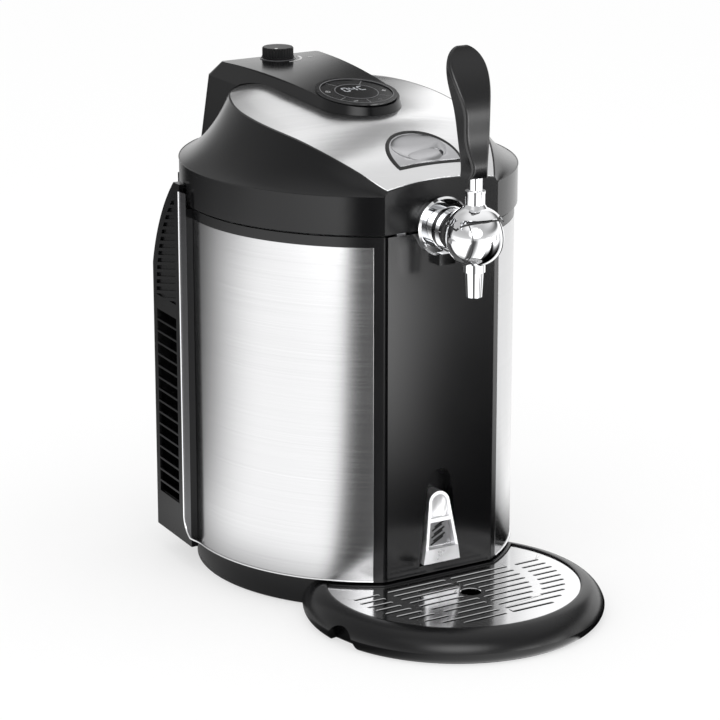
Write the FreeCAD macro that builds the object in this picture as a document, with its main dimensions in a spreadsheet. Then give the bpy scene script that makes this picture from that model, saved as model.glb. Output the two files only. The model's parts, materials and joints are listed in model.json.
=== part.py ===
"""Mini keg beer dispenser: a cooled 5 litre keg chamber, a hinged lid with a gas regulator, and a ball tap.

Frame: origin on the ground under the middle of the body, +Z up, the tap faces -Y. Millimetres.
"""
import FreeCAD, Part
import math
import os
import re
import Sketcher
from FreeCAD import Placement, Rotation, Vector

doc = FreeCAD.newDocument("keg_dispenser")

# ---------------------------------------------------------------- driving sizes
SIZES = {
    # plan of the body: two side arcs cut off flat at the front and the back
    "arc_radius": 161.7, "half_width": 136, "front_reach": 141, "back_reach": 132,
    "body_inset": 2.5, "shell_wall": 3, "skin": 1, "fit_gap": 0.3,
    # heights of the body
    "plinth_inset": 10.2, "plinth_lift": 1.5, "plinth_top": 26, "plinth_wall": 4,
    "body_top": 313, "seam": 2.2, "panel_top": 305, "panel_front": 134.6, "panel_back": 27.8,
    # feet and the screws under the plinth
    "foot_radius": 8.5, "foot_reach_x": 82, "foot_reach_y": 62, "foot_stem": 3,
    "floor_screw": 2, "floor_screw_x": 60, "floor_screw_y": 88, "screw_head": 1.9, "boss_wall": 3,
    # front panel, bottle opener and its niche
    "panel_half": 50.3, "panel_thick": 2.5, "panel_low": 27,
    "niche_half": 11.2, "niche_foot": 19.5, "niche_low": 34, "niche_high": 114.8, "niche_depth": 13,
    "niche_wall": 1.8, "opener_half": 10, "opener_foot": 17.6, "opener_low": 36, "opener_high": 95,
    "opener_proud": 4, "opener_rim": 2.6,
    # keg chamber
    "keg_bore": 87, "liner_wall": 1.2, "chamber_y": -22, "chamber_low": 45, "deck_thick": 3,
    # cooling behind the chamber
    "cold_half": 25, "cold_low": 150, "cold_high": 210, "cold_back": 76, "module_half": 20,
    "module_thick": 4, "sink_half": 45, "sink_low": 130, "sink_high": 230, "sink_base": 6,
    "sink_back": 110, "fin_thick": 1.6, "fin_count": 12, "fan_half": 46, "fan_depth": 16.3,
    "fan_bore": 42, "fan_hub": 17, "blade_count": 7,
    # side air ducts and the rear cover
    "duct_half": 137.3, "duct_front": 28, "duct_corner": 99, "duct_corner_half": 131, "duct_back": 104,
    "duct_back_half": 125, "duct_low": 22, "duct_wall": 2.5, "ear_front": 42, "ear_flat": 53,
    "ear_top": 331, "ear_arc_low": 215, "ear_bulge": 13, "vent_front": 52, "vent_back": 92,
    "vent_low": 55, "vent_high": 218, "vent_slots": 16, "vent_rim": 3.5, "slot_open": 5.4,
    "grille_low": 227, "grille_front": 44, "grille_bars": 17, "bar_thick": 2.6, "vent_thick": 2,
    "spine_half": 78, "spine_back": 150, "spine_top": 314.5, "spine_low": 22, "casing_screw": 1.6,
    "board_half": 36, "board_low": 60, "board_high": 125, "inlet_x": 45, "inlet_z": 44,
    # drip tray and its plate
    "tray_y": -162, "tray_radius": 122.7, "tray_waist": 118, "tray_bulge": 9,
    "plate_radius": 103.2, "plate_level": 23.2, "plate_thick": 1.5, "well_radius": 99,
    "well_floor": 3, "rim_top": 24.6, "rim_flat": 105.2, "rim_middle": 116.5, "rim_rise": 19.1,
    "notch_radius": 16, "notch_depth": 11,
    "slot_pitch": 9.7, "slot_width": 2.8, "slot_reach": 90, "slot_ring": 23,
    "drain_radius": 8.3, "drain_y": -187,
    # tap
    "tap_z": 316.5, "ball_y": -187, "ball_radius": 23, "flange_radius": 24, "flange_thick": 4,
    "shank_radius": 11, "shank_bore": 5.3, "shank_tail": 122, "nut_radius": 16, "nut_thick": 7,
    "neck_radius": 15, "collar_radius": 18, "collar_thick": 5, "neck_end": 163, "seal_radius": 2,
    "spout_top": 20.5, "spout_collar": 8.5, "spout_shoulder": 289, "spout_tip": 269,
    "spout_radius": 7.2, "spout_tip_radius": 6.2, "spout_bore": 5,
    "pivot_radius": 2.5, "lever_root": 2.6, "lever_eye": 5,
    "toe_drop": 10.5, "plunger_drop": 7.5, "plunger_front": 3.1, "plunger_length": 13.4,
    "handle_bore": 12, "stud_radius": 3, "cap_wall": 2.3, "cap_gap": 0.4, "cap_ear": 11.5, "cap_flat": 14.5,
    "cap_corner": 6, "cheek_radius": 8.5, "cheek_lift": 9, "collar_low": 343, "collar_high": 353.8,
    "stem_collar": 7.7, "stem_radius": 5.5,
    "handle_low": 364, "handle_high": 464, "plunger_radius": 2.5, "running_gap": 0.05,
    # lid
    "lid_wall": 2.5, "ring_top": 346, "plate_z": 389.2, "plate_slope": 6.8, "bend_start": -43.2,
    "bend_radius": 235.6, "plate_flat": 60, "plate_end": 110, "crown": 7.2, "crown_fall": 2.2,
    "plate_arc": 120, "plate_side_arc": 250, "sheet": 1.2, "sheet_gap": 1.2,
    "inner_low": 317, "inner_thick": 2.5, "gasket_radius": 94, "gasket_width": 5,
    "hinge_y": 144, "hinge_z": 309, "hinge_pin": 2.5, "knuckle": 6, "knuckle_in": 58.6, "knuckle_out": 70,
    # latch button
    "button_radius": 29.4, "button_y": -116.5, "button_chord": 123.8, "button_gap": 1.4, "button_proud": 1,
    "button_thick": 6, "hook_x": 36, "hook_width": 8,
    # control pod
    "pod_back": 125, "pod_back_half": 47.5, "pod_nose": 34.5, "pod_nose_y": -14,
    "nose_flare": 4, "nose_skirt": 8,
    "pod_high": 411.6, "pod_high_y": 105, "pod_top_arc": 793, "pod_plane": 3.7, "pod_flare": 5,
    "pod_flare_depth": 16, "pod_skirt": 9, "pod_skirt_depth": 74, "pod_wall": 2.5,
    "dial_y": -14, "dial_z": 402.7, "dial_tilt": 8.6, "dial_radius": 34, "dial_bore": 30.2, "lens_radius": 17.8,
    "key_in": 18.3, "key_out": 29.8, "key_top": 0.4, "key_thick": 2.7, "key_start": 117, "key_wide": 93,
    "key_narrow": 54, "key_gap": 1.5,
    "dial_floor": 4.5,
    # gas regulator
    "knob_y": 112, "knob_radius": 13.3, "knob_top": 421.6, "knob_base": 412.4, "knob_flutes": 30,
    "knob_stem": 4, "regulator_radius": 13, "regulator_low": 352, "regulator_top": 407.9,
    "holder_radius": 12.5, "holder_front": 22, "holder_z": 364.8,
}
sheet = doc.addObject("Spreadsheet::Sheet", "Sizes")
for row, (alias, number) in enumerate(SIZES.items(), 1):
    sheet.set(f"A{row}", alias)
    sheet.set(f"B{row}", str(number))
    sheet.setAlias(f"B{row}", alias)
doc.recompute()

ARC_SHIFT = "(arc_radius - half_width)"


def size(alias):
    """The number that a cell of the sheet holds."""
    return float(sheet.get(alias))


def bound(formula):
    """A formula in sheet words, written as an expression of the document."""
    return re.sub(r"[a-z_]+", lambda word: "Sizes." + word[0] if word[0] in SIZES else word[0], formula)


def bind(thing, formulas):
    """Ties each property of an object to a formula."""
    for name, formula in formulas.items():
        thing.setExpression(name, bound(str(formula)))
    return thing


def at(thing, x="0", y="0", z="0"):
    """Ties an object's place to three formulas."""
    return bind(thing, {"Placement.Base.x": x, "Placement.Base.y": y, "Placement.Base.z": z})


# ---------------------------------------------------------------- primitives and booleans
def box(name, x0, x1, y0, y1, z0, z1):
    """A block between two corners."""
    block = doc.addObject("Part::Box", name)
    bind(block, {"Length": f"({x1}) - ({x0})", "Width": f"({y1}) - ({y0})", "Height": f"({z1}) - ({z0})"})
    return at(block, x0, y0, z0)


TURNS = {"Z": Rotation(), "Y": Rotation(Vector(1, 0, 0), -90), "X": Rotation(Vector(0, 1, 0), 90)}


def rod(name, radius, x, y, z, length, axis="Z"):
    """A cylinder from a point along +X, +Y or +Z."""
    cylinder = doc.addObject("Part::Cylinder", name)
    cylinder.Placement = Placement(Vector(), TURNS[axis])
    bind(cylinder, {"Radius": radius, "Height": length})
    return at(cylinder, x, y, z)


def tube(name, outer, inner, x, y, z, length, axis="Z"):
    """A cylinder with a round bore along it."""
    return cut(name, rod(name + "_outer", outer, x, y, z, length, axis),
               rod(name + "_bore", inner, x, y, z, length, axis))


def fuse(name, *shapes):
    """One object from several that touch or overlap."""
    joined = doc.addObject("Part::MultiFuse", name)
    joined.Shapes = list(shapes)
    return joined


def common(name, *shapes):
    """What several objects share."""
    shared = doc.addObject("Part::MultiCommon", name)
    shared.Shapes = list(shapes)
    return shared


def cut(name, base, *tools):
    """The base with every tool taken away."""
    taken = doc.addObject("Part::Cut", name)
    taken.Base = base
    taken.Tool = tools[0] if len(tools) == 1 else fuse(name + "_tools", *tools)
    return taken


def computed(name, shape):
    """A shape worked out from the sheet's numbers."""
    feature = doc.addObject("Part::Feature", name)
    feature.Shape = shape
    feature.Placement = Placement()
    return feature


def lens(name, inset, low, high):
    """The body's plan, drawn in by an inset, between two heights."""
    radius = f"arc_radius - ({inset})"
    rise = f"({high}) - ({low})"
    left = rod(name + "_left", radius, ARC_SHIFT, "0", low, rise)
    right = rod(name + "_right", radius, "-" + ARC_SHIFT, "0", low, rise)
    band = box(name + "_band", "-half_width", "half_width", f"-front_reach + ({inset})",
               f"back_reach - ({inset})", low, high)
    return common(name, left, right, band)


# ---------------------------------------------------------------- sketches
def plane_of(body, role):
    """The body's own origin plane with this role."""
    return next(plane for plane in body.Origin.OriginFeatures if plane.Role == role)


def outline(body, name, role, corners):
    """A closed sketch of straight lines whose corners are tied to formulas."""
    sketch = body.newObject("Sketcher::SketchObject", name)
    sketch.AttachmentSupport = (plane_of(body, role), [""])
    sketch.MapMode = "FlatFace"
    places = [(value(across), value(along)) for across, along in corners]
    for index, (across, along) in enumerate(places):
        following = places[(index + 1) % len(places)]
        sketch.addGeometry(Part.LineSegment(Vector(across, along, 0), Vector(*following, 0)), False)
    for index in range(len(corners)):
        sketch.addConstraint(Sketcher.Constraint("Coincident", index, 2, (index + 1) % len(corners), 1))
    for index, pair in enumerate(corners):
        for kind, axis, formula in (("DistanceX", -2, pair[0]), ("DistanceY", -1, pair[1])):
            if formula == "0":
                sketch.addConstraint(Sketcher.Constraint("PointOnObject", index, 1, axis))
                continue
            row_number = sketch.addConstraint(Sketcher.Constraint(kind, -1, 1, index, 1, value(formula)))
            label = f"corner{index}{kind[-1]}"
            sketch.renameConstraint(row_number, label)
            sketch.setExpression("Constraints." + label, bound(formula))
    return sketch


def value(formula):
    """The number that a formula in sheet words comes to."""
    probe.setExpression("Placement.Base.x", bound(formula))
    probe.recompute()
    return probe.Placement.Base.x


probe = doc.addObject("Part::Feature", "probe")


def turned(name, role, corners, y="0", z="0"):
    """A solid of revolution about its sketch's upright axis."""
    body = doc.addObject("PartDesign::Body", name)
    sketch = outline(body, name + "_profile", role, corners)
    spun = body.newObject("PartDesign::Revolution", name + "_revolution")
    spun.Profile = sketch
    spun.ReferenceAxis = (sketch, ["V_Axis"])
    spun.Angle = 360
    body.Tip = spun
    return at(body, "0", y, z)


def padded(name, role, corners, length, symmetric=False, y="0", z="0"):
    """A flat outline given a thickness."""
    body = doc.addObject("PartDesign::Body", name)
    sketch = outline(body, name + "_profile", role, corners)
    pad = body.newObject("PartDesign::Pad", name + "_pad")
    pad.Profile = sketch
    pad.setExpression("Length", bound(length))
    pad.Midplane = symmetric
    body.Tip = pad
    return at(body, "0", y, z)


pieces = []


def piece(node, thing):
    """Names a finished sub-part and keeps it for the export."""
    thing.Label = node
    pieces.append(thing)
    return thing


def taper(name, foot, top, low, high, y0, y1):
    """A block between two depths whose half width runs from its foot to its top."""
    return padded(name, "XZ_Plane", [(f"-({foot})", low), (foot, low), (top, high), (f"-({top})", high)],
                  f"({y1}) - ({y0})", y=y1)


def bell(name, foot, top, low, high, y0, y1):
    """A tapered block with a round head."""
    crown_z = f"({high}) - ({top})"
    return fuse(name, taper(name + "_foot", foot, top, low, crown_z, y0, y1),
                rod(name + "_crown", top, "0", y0, crown_z, f"({y1}) - ({y0})", "Y"))


def corners_of(x, y):
    """The four mirrored places of one point."""
    return [(f"{i}*({x})", f"{k}*({y})") for i in (-1, 1) for k in (-1, 1)]


# ---------------------------------------------------------------- plinth, feet and floor screws
FOOT_SEAT = "(plinth_lift + 1.5)"
foot_places = corners_of("foot_reach_x", "foot_reach_y") + [("0", "0")]
screw_places = corners_of("floor_screw_x", "floor_screw_y")
plinth_shell = cut("plinth_shell", lens("plinth_block", "plinth_inset", "plinth_lift", "plinth_top"),
                   lens("plinth_hollow", "plinth_inset + shell_wall", "0", "plinth_top - plinth_wall"))
foot_bosses = [rod(f"foot_boss{i}", "foot_radius + 1.5", x, y, FOOT_SEAT, f"plinth_top - {FOOT_SEAT}")
               for i, (x, y) in enumerate(foot_places)]
foot_bores = [rod(f"foot_bore{i}", "foot_stem + 0.1", x, y, FOOT_SEAT, "8")
              for i, (x, y) in enumerate(foot_places)]
floor_bores = [rod(f"floor_bore{i}", "floor_screw + 0.1", x, y, "plinth_top - 6", "8")
               for i, (x, y) in enumerate(screw_places)]
piece("base_plinth", cut("plinth_cut", fuse("plinth_joined", plinth_shell, *foot_bosses),
                         *foot_bores, *floor_bores))
feet = []
for i, (x, y) in enumerate(foot_places):
    feet += [rod(f"foot_pad{i}", "foot_radius", x, y, "0", FOOT_SEAT),
             rod(f"foot_stem{i}", "foot_stem", x, y, FOOT_SEAT, "7")]
piece("rubber_feet", fuse("feet_joined", *feet))
screws = []
for i, (x, y) in enumerate(screw_places):
    under = "plinth_top - plinth_wall"
    screws += [rod(f"floor_head{i}", "2 * floor_screw", x, y, f"{under} - screw_head", "screw_head"),
               rod(f"floor_shank{i}", "floor_screw", x, y, under, "plinth_wall + 12")]
piece("base_screws", fuse("floor_screws_joined", *screws))

# ---------------------------------------------------------------- body frame and its steel skins
WALL_INSET = "body_inset + shell_wall"
FLOOR_TOP = "(plinth_top + shell_wall)"
frame_walls = cut("frame_walls", lens("frame_block", "body_inset", "plinth_top", "body_top"),
                  lens("frame_hollow", WALL_INSET, FLOOR_TOP, "body_top + 1"))
frame_bosses = [rod(f"frame_boss{i}", "floor_screw + boss_wall", x, y, "plinth_top + 1", "15")
                for i, (x, y) in enumerate(screw_places)]
frame_bores = [rod(f"frame_bore{i}", "floor_screw + 0.1", x, y, "plinth_top - 1", "20")
               for i, (x, y) in enumerate(screw_places)]
skin_pocket = cut("skin_pocket", box("skin_zone", "-half_width", "half_width", "-panel_front", "panel_back",
                                     "plinth_top - 1", "panel_top"),
                  lens("skin_seat", "body_inset + skin", "plinth_top - 2", "panel_top + 1"))
niche_window = bell("niche_window", "niche_foot + niche_wall + 0.2", "niche_half + niche_wall + 0.2",
                    "niche_low - niche_wall - 0.2", "niche_high + niche_wall + 0.2", "-front_reach",
                    "-front_reach + 8")
shank_way = rod("shank_way", "shank_radius + fit_gap", "0", "-front_reach - 1", "tap_z", "9", "Y")
fan_way = rod("fan_way", "fan_bore", "0", "back_reach - 9", "(sink_low + sink_high) / 2", "8", "Y")
side_way = box("side_way", "-half_width", "half_width", "60", "90", "sink_low", "sink_high")
piece("body_frame", cut("frame_cut", fuse("frame_joined", frame_walls, *frame_bosses), skin_pocket,
                        niche_window, shank_way, fan_way, side_way, *frame_bores))
for side, low_x, high_x in (("left", "-half_width", "-panel_half"), ("right", "panel_half", "half_width")):
    sheet_ring = cut(f"skin_ring_{side}", lens(f"skin_outer_{side}", "body_inset", "plinth_top", "panel_top"),
                     lens(f"skin_inner_{side}", "body_inset + skin - 0.15", "plinth_top", "panel_top"))
    zone = box(f"skin_side_{side}", low_x, high_x, "-panel_front + fit_gap", "panel_back - fit_gap",
               "plinth_top + fit_gap", "panel_top - fit_gap")
    piece(f"side_panel_{side}", common(f"skin_{side}", sheet_ring, zone))

# ---------------------------------------------------------------- front panel, opener and its niche
panel_blank = padded("panel_blank", "XZ_Plane",
                     [("-panel_half", "panel_low"), ("panel_half", "panel_low"), ("panel_half", "body_top"),
                      ("-panel_half", "body_top")], "panel_thick", y="-front_reach + panel_thick")
panel_window = bell("panel_window", "niche_foot", "niche_half", "niche_low", "niche_high",
                    "-front_reach - 1", "-front_reach + 5")
panel_notch = rod("panel_notch", "shank_radius + fit_gap", "0", "-front_reach - 1", "tap_z", "5", "Y")
piece("front_panel", cut("panel_cut", panel_blank, panel_window, panel_notch))
niche_block = bell("niche_block", "niche_foot + niche_wall", "niche_half + niche_wall",
                   "niche_low - niche_wall", "niche_high + niche_wall", "-front_reach + panel_thick",
                   "-front_reach + niche_depth + niche_wall")
niche_room = bell("niche_room", "niche_foot", "niche_half", "niche_low", "niche_high", "-front_reach",
                  "-front_reach + niche_depth")
piece("opener_niche", cut("niche_cut", niche_block, niche_room))
OPENER_FRONT = "(-front_reach - opener_proud)"
wedge = padded("opener_wedge", "YZ_Plane",
               [("-front_reach + niche_depth", "opener_low"), (OPENER_FRONT, "opener_low"),
                (OPENER_FRONT, "opener_low + 12"), ("-front_reach + 1.5", "opener_high"),
                ("-front_reach + niche_depth", "opener_high")], "2 * opener_foot + 2", symmetric=True)
opener_bell = bell("opener_bell", "opener_foot", "opener_half", "opener_low", "opener_high",
                   "-front_reach - 20", "-front_reach + 20")


def opener_width(level):
    """Half the width of the opener's windows at a height above its foot."""
    taper_rate = "(opener_foot - opener_half) / (opener_high - opener_half - opener_low)"
    return f"opener_foot - opener_rim - {level} * {taper_rate}"


scoop = bell("opener_scoop", opener_width(37), "opener_half - opener_rim", "opener_low + 37",
             "opener_high - opener_rim", "-front_reach - 20", "-front_reach + 4.5")
hollow = taper("opener_hollow", opener_width(12), opener_width(34), "opener_low + 12", "opener_low + 34",
               "-front_reach - 20", "-front_reach + 3")
piece("bottle_opener", cut("opener_cut", common("opener_body", wedge, opener_bell), scoop, hollow))

# ---------------------------------------------------------------- keg chamber
LINER = "(keg_bore + liner_wall)"
piece("chamber_liner", cut("liner_cut",
                           rod("liner_outer", LINER, "0", "chamber_y", "chamber_low",
                               "body_top - chamber_low - 0.5"),
                           rod("liner_inner", "keg_bore", "0", "chamber_y", "chamber_low + liner_wall",
                               "body_top")))
deck_mouth = rod("deck_mouth", f"{LINER} + 0.2", "0", "chamber_y", "body_top - 10", "20")
deck_notch = box("deck_notch", "-nut_radius - 1.5", "nut_radius + 1.5", "-front_reach", "-front_reach + 27",
                 "body_top - 10", "body_top + 1")
piece("top_deck", cut("deck_cut", lens("deck_block", f"{WALL_INSET} + 0.2", "body_top - deck_thick",
                                       "body_top"), deck_mouth, deck_notch))
foam_block = lens("foam_block", f"{WALL_INSET} + fit_gap", f"{FLOOR_TOP} + fit_gap",
                  "body_top - deck_thick - fit_gap")
foam_cuts = [rod("foam_chamber", f"{LINER} + fit_gap", "0", "chamber_y", "chamber_low - fit_gap", "body_top"),
             box("foam_back", "-half_width", "half_width", "cold_back - 18", "back_reach",
                 "sink_low - 10", "sink_high + 10"),
             box("foam_niche", "-niche_foot - 3", "niche_foot + 3", "-front_reach",
                 "-front_reach + niche_depth + 3", "niche_low - 3", "niche_high + 3"),
             rod("foam_nut", "nut_radius + 1", "0", "-front_reach", "tap_z", "30", "Y")]
foam_cuts += [rod(f"foam_boss{i}", "floor_screw + boss_wall + fit_gap", x, y, "plinth_top", "18")
              for i, (x, y) in enumerate(screw_places)]
piece("insulation_foam", cut("foam_cut", foam_block, *foam_cuts))

# ---------------------------------------------------------------- cooling behind the chamber
piece("cold_plate", cut("cold_cut", box("cold_block", "-cold_half", "cold_half", "cold_back - 18",
                                        "cold_back", "cold_low", "cold_high"),
                        rod("cold_seat", f"{LINER} + 0.1", "0", "chamber_y", "cold_low - 1", "100")))
COOL_Z = "((sink_low + sink_high) / 2)"
MODULE_BACK = "(cold_back + module_thick)"
piece("cooling_module", box("module_block", "-module_half", "module_half", "cold_back", MODULE_BACK,
                            f"{COOL_Z} - module_half", f"{COOL_Z} + module_half"))
fins = [box("sink_plate", "-sink_half", "sink_half", MODULE_BACK, f"{MODULE_BACK} + sink_base",
            "sink_low", "sink_high")]
for i in range(int(size("fin_count"))):
    left = f"-sink_half + {i} * (2 * sink_half - fin_thick) / (fin_count - 1)"
    fins.append(box(f"sink_fin{i}", left, f"{left} + fin_thick", f"{MODULE_BACK} + sink_base - 1",
                    "sink_back", "sink_low", "sink_high"))
piece("heat_sink", fuse("sink_joined", *fins))
FAN_BACK = "(sink_back + fan_depth)"
fan_ring = cut("fan_ring", box("fan_block", "-fan_half", "fan_half", "sink_back", FAN_BACK,
                               f"{COOL_Z} - fan_half", f"{COOL_Z} + fan_half"),
               rod("fan_duct", "fan_bore", "0", "sink_back - 1", COOL_Z, "fan_depth + 2", "Y"))
struts = [box("fan_strut_x", "-fan_bore - 1", "fan_bore + 1", f"{FAN_BACK} - 3", FAN_BACK,
              f"{COOL_Z} - 1.5", f"{COOL_Z} + 1.5"),
          box("fan_strut_z", "-1.5", "1.5", f"{FAN_BACK} - 3", FAN_BACK, f"{COOL_Z} - fan_bore - 1",
              f"{COOL_Z} + fan_bore + 1"),
          rod("fan_motor", "fan_hub", "0", f"{FAN_BACK} - 4", COOL_Z, "4", "Y"),
          rod("fan_spindle", "2", "0", "sink_back + 3", COOL_Z, "fan_depth - 4", "Y")]
piece("fan_frame", fuse("fan_joined", fan_ring, *struts))


def blade(index, count):
    """One pitched blade of the fan, made about the fan's own centre."""
    reach = size("fan_bore") - 1.5
    root = size("fan_hub") - 1
    plate = Part.makeBox(reach - root, 1.6, 16, Vector(root, -0.8, -8))
    plate.rotate(Vector(), Vector(1, 0, 0), 55)
    plate.rotate(Vector(), Vector(0, 1, 0), 360 * index / count)
    return plate


fan_depth = size("fan_depth")
hub = Part.makeCylinder(size("fan_hub"), fan_depth - 7, Vector(0, -(fan_depth - 7) / 2, 0), Vector(0, 1, 0))
eye = Part.makeCylinder(2 + size("running_gap"), fan_depth, Vector(0, -fan_depth / 2, 0), Vector(0, 1, 0))
blades = [blade(i, int(size("blade_count"))) for i in range(int(size("blade_count")))]
trim = Part.makeCylinder(size("fan_bore") - 1, fan_depth - 6, Vector(0, -(fan_depth - 6) / 2, 0),
                         Vector(0, 1, 0))
rotor = computed("rotor_shape", hub.fuse(blades).common(trim).cut(eye))
piece("fan_rotor", at(rotor, "0", f"sink_back + (fan_depth - 3) / 2 - 0.5", COOL_Z))

# ---------------------------------------------------------------- side air ducts with their grilles
def duct_profile(inset):
    """The ducts' outline seen from the side, drawn in by an inset and spread over the whole width."""
    front, back = size("duct_front") + inset, size("duct_back") - inset
    low, high = size("duct_low") + inset, size("ear_top") - inset
    top = size("body_top") - inset
    start, end = Vector(0, back, size("ear_arc_low")), Vector(0, size("ear_flat"), high)
    chord = end - start
    outward = Vector(0, chord.z, -chord.y).normalize()
    middle = (start + end) * 0.5 + outward * size("ear_bulge")
    ear = min(size("ear_front") + inset, size("ear_flat") - 1)
    corners = [end, Vector(0, ear, high), Vector(0, ear, top), Vector(0, front, top), Vector(0, front, low),
               Vector(0, back, low), start]
    edges = [Part.makeLine(a, b) for a, b in zip(corners, corners[1:])]
    edges.append(Part.Arc(start, middle, end).toShape())
    face = Part.Face(Part.Wire(Part.__sortEdges__(edges)))
    face.translate(Vector(-size("half_width") - 10, 0, 0))
    return face.extrude(Vector(2 * size("half_width") + 20, 0, 0))


def duct_block(inset, side):
    """One duct's block on the left (-1) or the right (+1), drawn in by an inset."""
    front, back = size("duct_front") + inset, size("duct_back") - inset
    plan = [(size("panel_half"), front), (size("duct_half") - inset, front),
            (size("duct_corner_half") - inset, size("duct_corner")),
            (size("duct_back_half") - inset, back), (size("panel_half"), back)]
    ring = [Vector(side * x, y, size("duct_low") + inset) for x, y in plan]
    face = Part.Face(Part.makePolygon(ring + ring[:1]))
    return face.extrude(Vector(0, 0, size("ear_top") - size("duct_low"))).common(duct_profile(inset))


def lens_shape(inset, low, high):
    """The body's plan as a computed solid."""
    radius, shift = size("arc_radius") - inset, size("arc_radius") - size("half_width")
    left = Part.makeCylinder(radius, high - low, Vector(shift, 0, low))
    right = Part.makeCylinder(radius, high - low, Vector(-shift, 0, low))
    front, back = size("front_reach") - inset, size("back_reach") - inset
    band = Part.makeBox(2 * radius, front + back, high - low, Vector(-radius, -front, low))
    return left.common(right).common(band)


SKIN_GAP = 0.15
LID_ROOM = 1.5
body_room = lens_shape(size("body_inset") - SKIN_GAP, 0, size("body_top"))
lid_room = lens_shape(-LID_ROOM, size("body_top"), size("ear_top") + 1)
for side, sign in (("left", -1), ("right", 1)):
    shell = duct_block(0, sign).cut(duct_block(size("duct_wall"), sign)).cut(body_room).cut(lid_room)
    vent_y = size("vent_front") - size("vent_rim")
    vent_length = size("vent_back") - size("vent_front") + 2 * size("vent_rim")
    vent_z = size("vent_low") - size("vent_rim")
    zone = Part.makeBox(60, vent_length, size("ear_top"), Vector(-30 + 130 * sign, vent_y, vent_z))
    zone = zone.common(duct_profile(9))
    outer_wall = duct_block(0, sign).cut(duct_block(size("vent_thick"), sign))
    panel = outer_wall.common(zone)
    zone_face = zone.common(outer_wall)
    piece(f"side_duct_{side}", computed(f"duct_{side}", shell.cut(zone_face)))
    seat = Part.makeBox(60, vent_length - 0.4, size("ear_top"), Vector(-30 + 130 * sign, vent_y + 0.2, vent_z))
    panel = panel.common(seat).common(duct_profile(9.2))
    slots = []
    pitch = (size("vent_high") - size("vent_low")) / size("vent_slots")
    for i in range(int(size("vent_slots"))):
        slots.append(Part.makeBox(60, size("vent_back") - size("vent_front"), size("slot_open"),
                                  Vector(-30 + 130 * sign, size("vent_front"), size("vent_low") + i * pitch)))
    opening = Part.makeBox(60, size("vent_back") - size("grille_front"), size("ear_top") - size("grille_low"),
                           Vector(-30 + 130 * sign, size("vent_front"), size("grille_low")))
    opening = opening.common(duct_profile(9 + size("vent_rim")))
    reach = size("ear_top") - size("grille_low")
    for i in range(int(size("grille_bars"))):
        bar_z = size("grille_low") + (i + 0.5) * reach / size("grille_bars")
        bar = Part.makeBox(60, 90, size("bar_thick"), Vector(-30 + 130 * sign, size("vent_front") - 20, bar_z))
        bar.rotate(Vector(0, size("vent_front"), bar_z), Vector(1, 0, 0), -12)
        opening = opening.cut(bar)
    piece(f"side_grille_{side}", computed(f"grille_{side}", panel.cut(slots).cut(opening)))

# ---------------------------------------------------------------- rear cover, hinge pins, power board
SPINE_WALL = "duct_wall"
cover_block = box("cover_block", "-spine_half", "spine_half", "duct_back + 1", "spine_back", "spine_low",
                  "spine_top")
cover_room = box("cover_room", f"-spine_half + {SPINE_WALL}", f"spine_half - {SPINE_WALL}", "duct_back",
                 f"spine_back - {SPINE_WALL}", f"spine_low + {SPINE_WALL}", "hinge_z - 14")
cover_body = lens("cover_body", f"body_inset - {SKIN_GAP}", "spine_low - 1", "spine_top + 1")
knuckle_slots = [box(f"knuckle_slot{i}", x0, x1, "back_reach - 2", "spine_back + 1", "hinge_z - knuckle - 2",
                     "spine_top + 1")
                 for i, (x0, x1) in enumerate((("-knuckle_out - 0.4", "-knuckle_in + 0.4"),
                                               ("knuckle_in - 0.4", "knuckle_out + 0.4")))]
pin_bore = rod("pin_bore", "hinge_pin + running_gap", "-spine_half - 1", "hinge_y", "hinge_z",
               "2 * spine_half + 2", "X")
exhaust = [box(f"exhaust_slot{i}", "-fan_bore", "fan_bore", "spine_back - 6", "spine_back + 1",
               f"{COOL_Z} + {i - 5.5} * 8", f"{COOL_Z} + {i - 5.5} * 8 + 4") for i in range(12)]
inlet_way = box("inlet_way", "inlet_x - 14", "inlet_x + 14", "spine_back - 6", "spine_back + 1",
                "inlet_z - 11", "inlet_z + 11")
cover_places = [(f"{i}*(spine_half - 8)", z) for i in (-1, 1) for z in ("spine_low + 12", "hinge_z - 22")]
cover_bosses = [rod(f"cover_boss{i}", "casing_screw + 2.4", x, "back_reach + 1", z,
                    f"spine_back - back_reach - 2", "Y") for i, (x, z) in enumerate(cover_places)]
cover_bores = [rod(f"cover_bore{i}", "casing_screw + 0.1", x, "back_reach", z,
                   "spine_back - back_reach + 2", "Y") for i, (x, z) in enumerate(cover_places)]
piece("rear_cover", cut("cover_cut", fuse("cover_joined", cut("cover_shell", cover_block, cover_room),
                                          *cover_bosses),
                        cover_body, *knuckle_slots, pin_bore, *exhaust, inlet_way, *cover_bores))
cover_screws = []
for i, (x, z) in enumerate(cover_places):
    cover_screws += [rod(f"cover_head{i}", "2 * casing_screw", x, "spine_back", z, "1.5", "Y"),
                     rod(f"cover_shank{i}", "casing_screw", x, "spine_back - 15", z, "15", "Y")]
piece("cover_screws", fuse("cover_screws_joined", *cover_screws))
PIN_LENGTH = "(spine_half - knuckle_in + 6)"
piece("hinge_pins", fuse("pins_joined",
                         rod("pin_left", "hinge_pin", "-spine_half", "hinge_y", "hinge_z", PIN_LENGTH, "X"),
                         rod("pin_right", "hinge_pin", f"spine_half - {PIN_LENGTH}", "hinge_y", "hinge_z",
                             PIN_LENGTH, "X")))
BOARD_Y = "(back_reach - body_inset)"
board = [box("board_sheet", "-board_half", "board_half", f"{BOARD_Y} + 2.5", f"{BOARD_Y} + 4.1",
             "board_low", "board_high"),
         box("board_coil", "-22", "0", f"{BOARD_Y} + 4", f"{BOARD_Y} + 15", "board_low + 12",
             "board_low + 34"),
         box("board_sink", "12", "30", f"{BOARD_Y} + 4", f"{BOARD_Y} + 13", "board_low + 8",
             "board_low + 50")]
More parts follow.
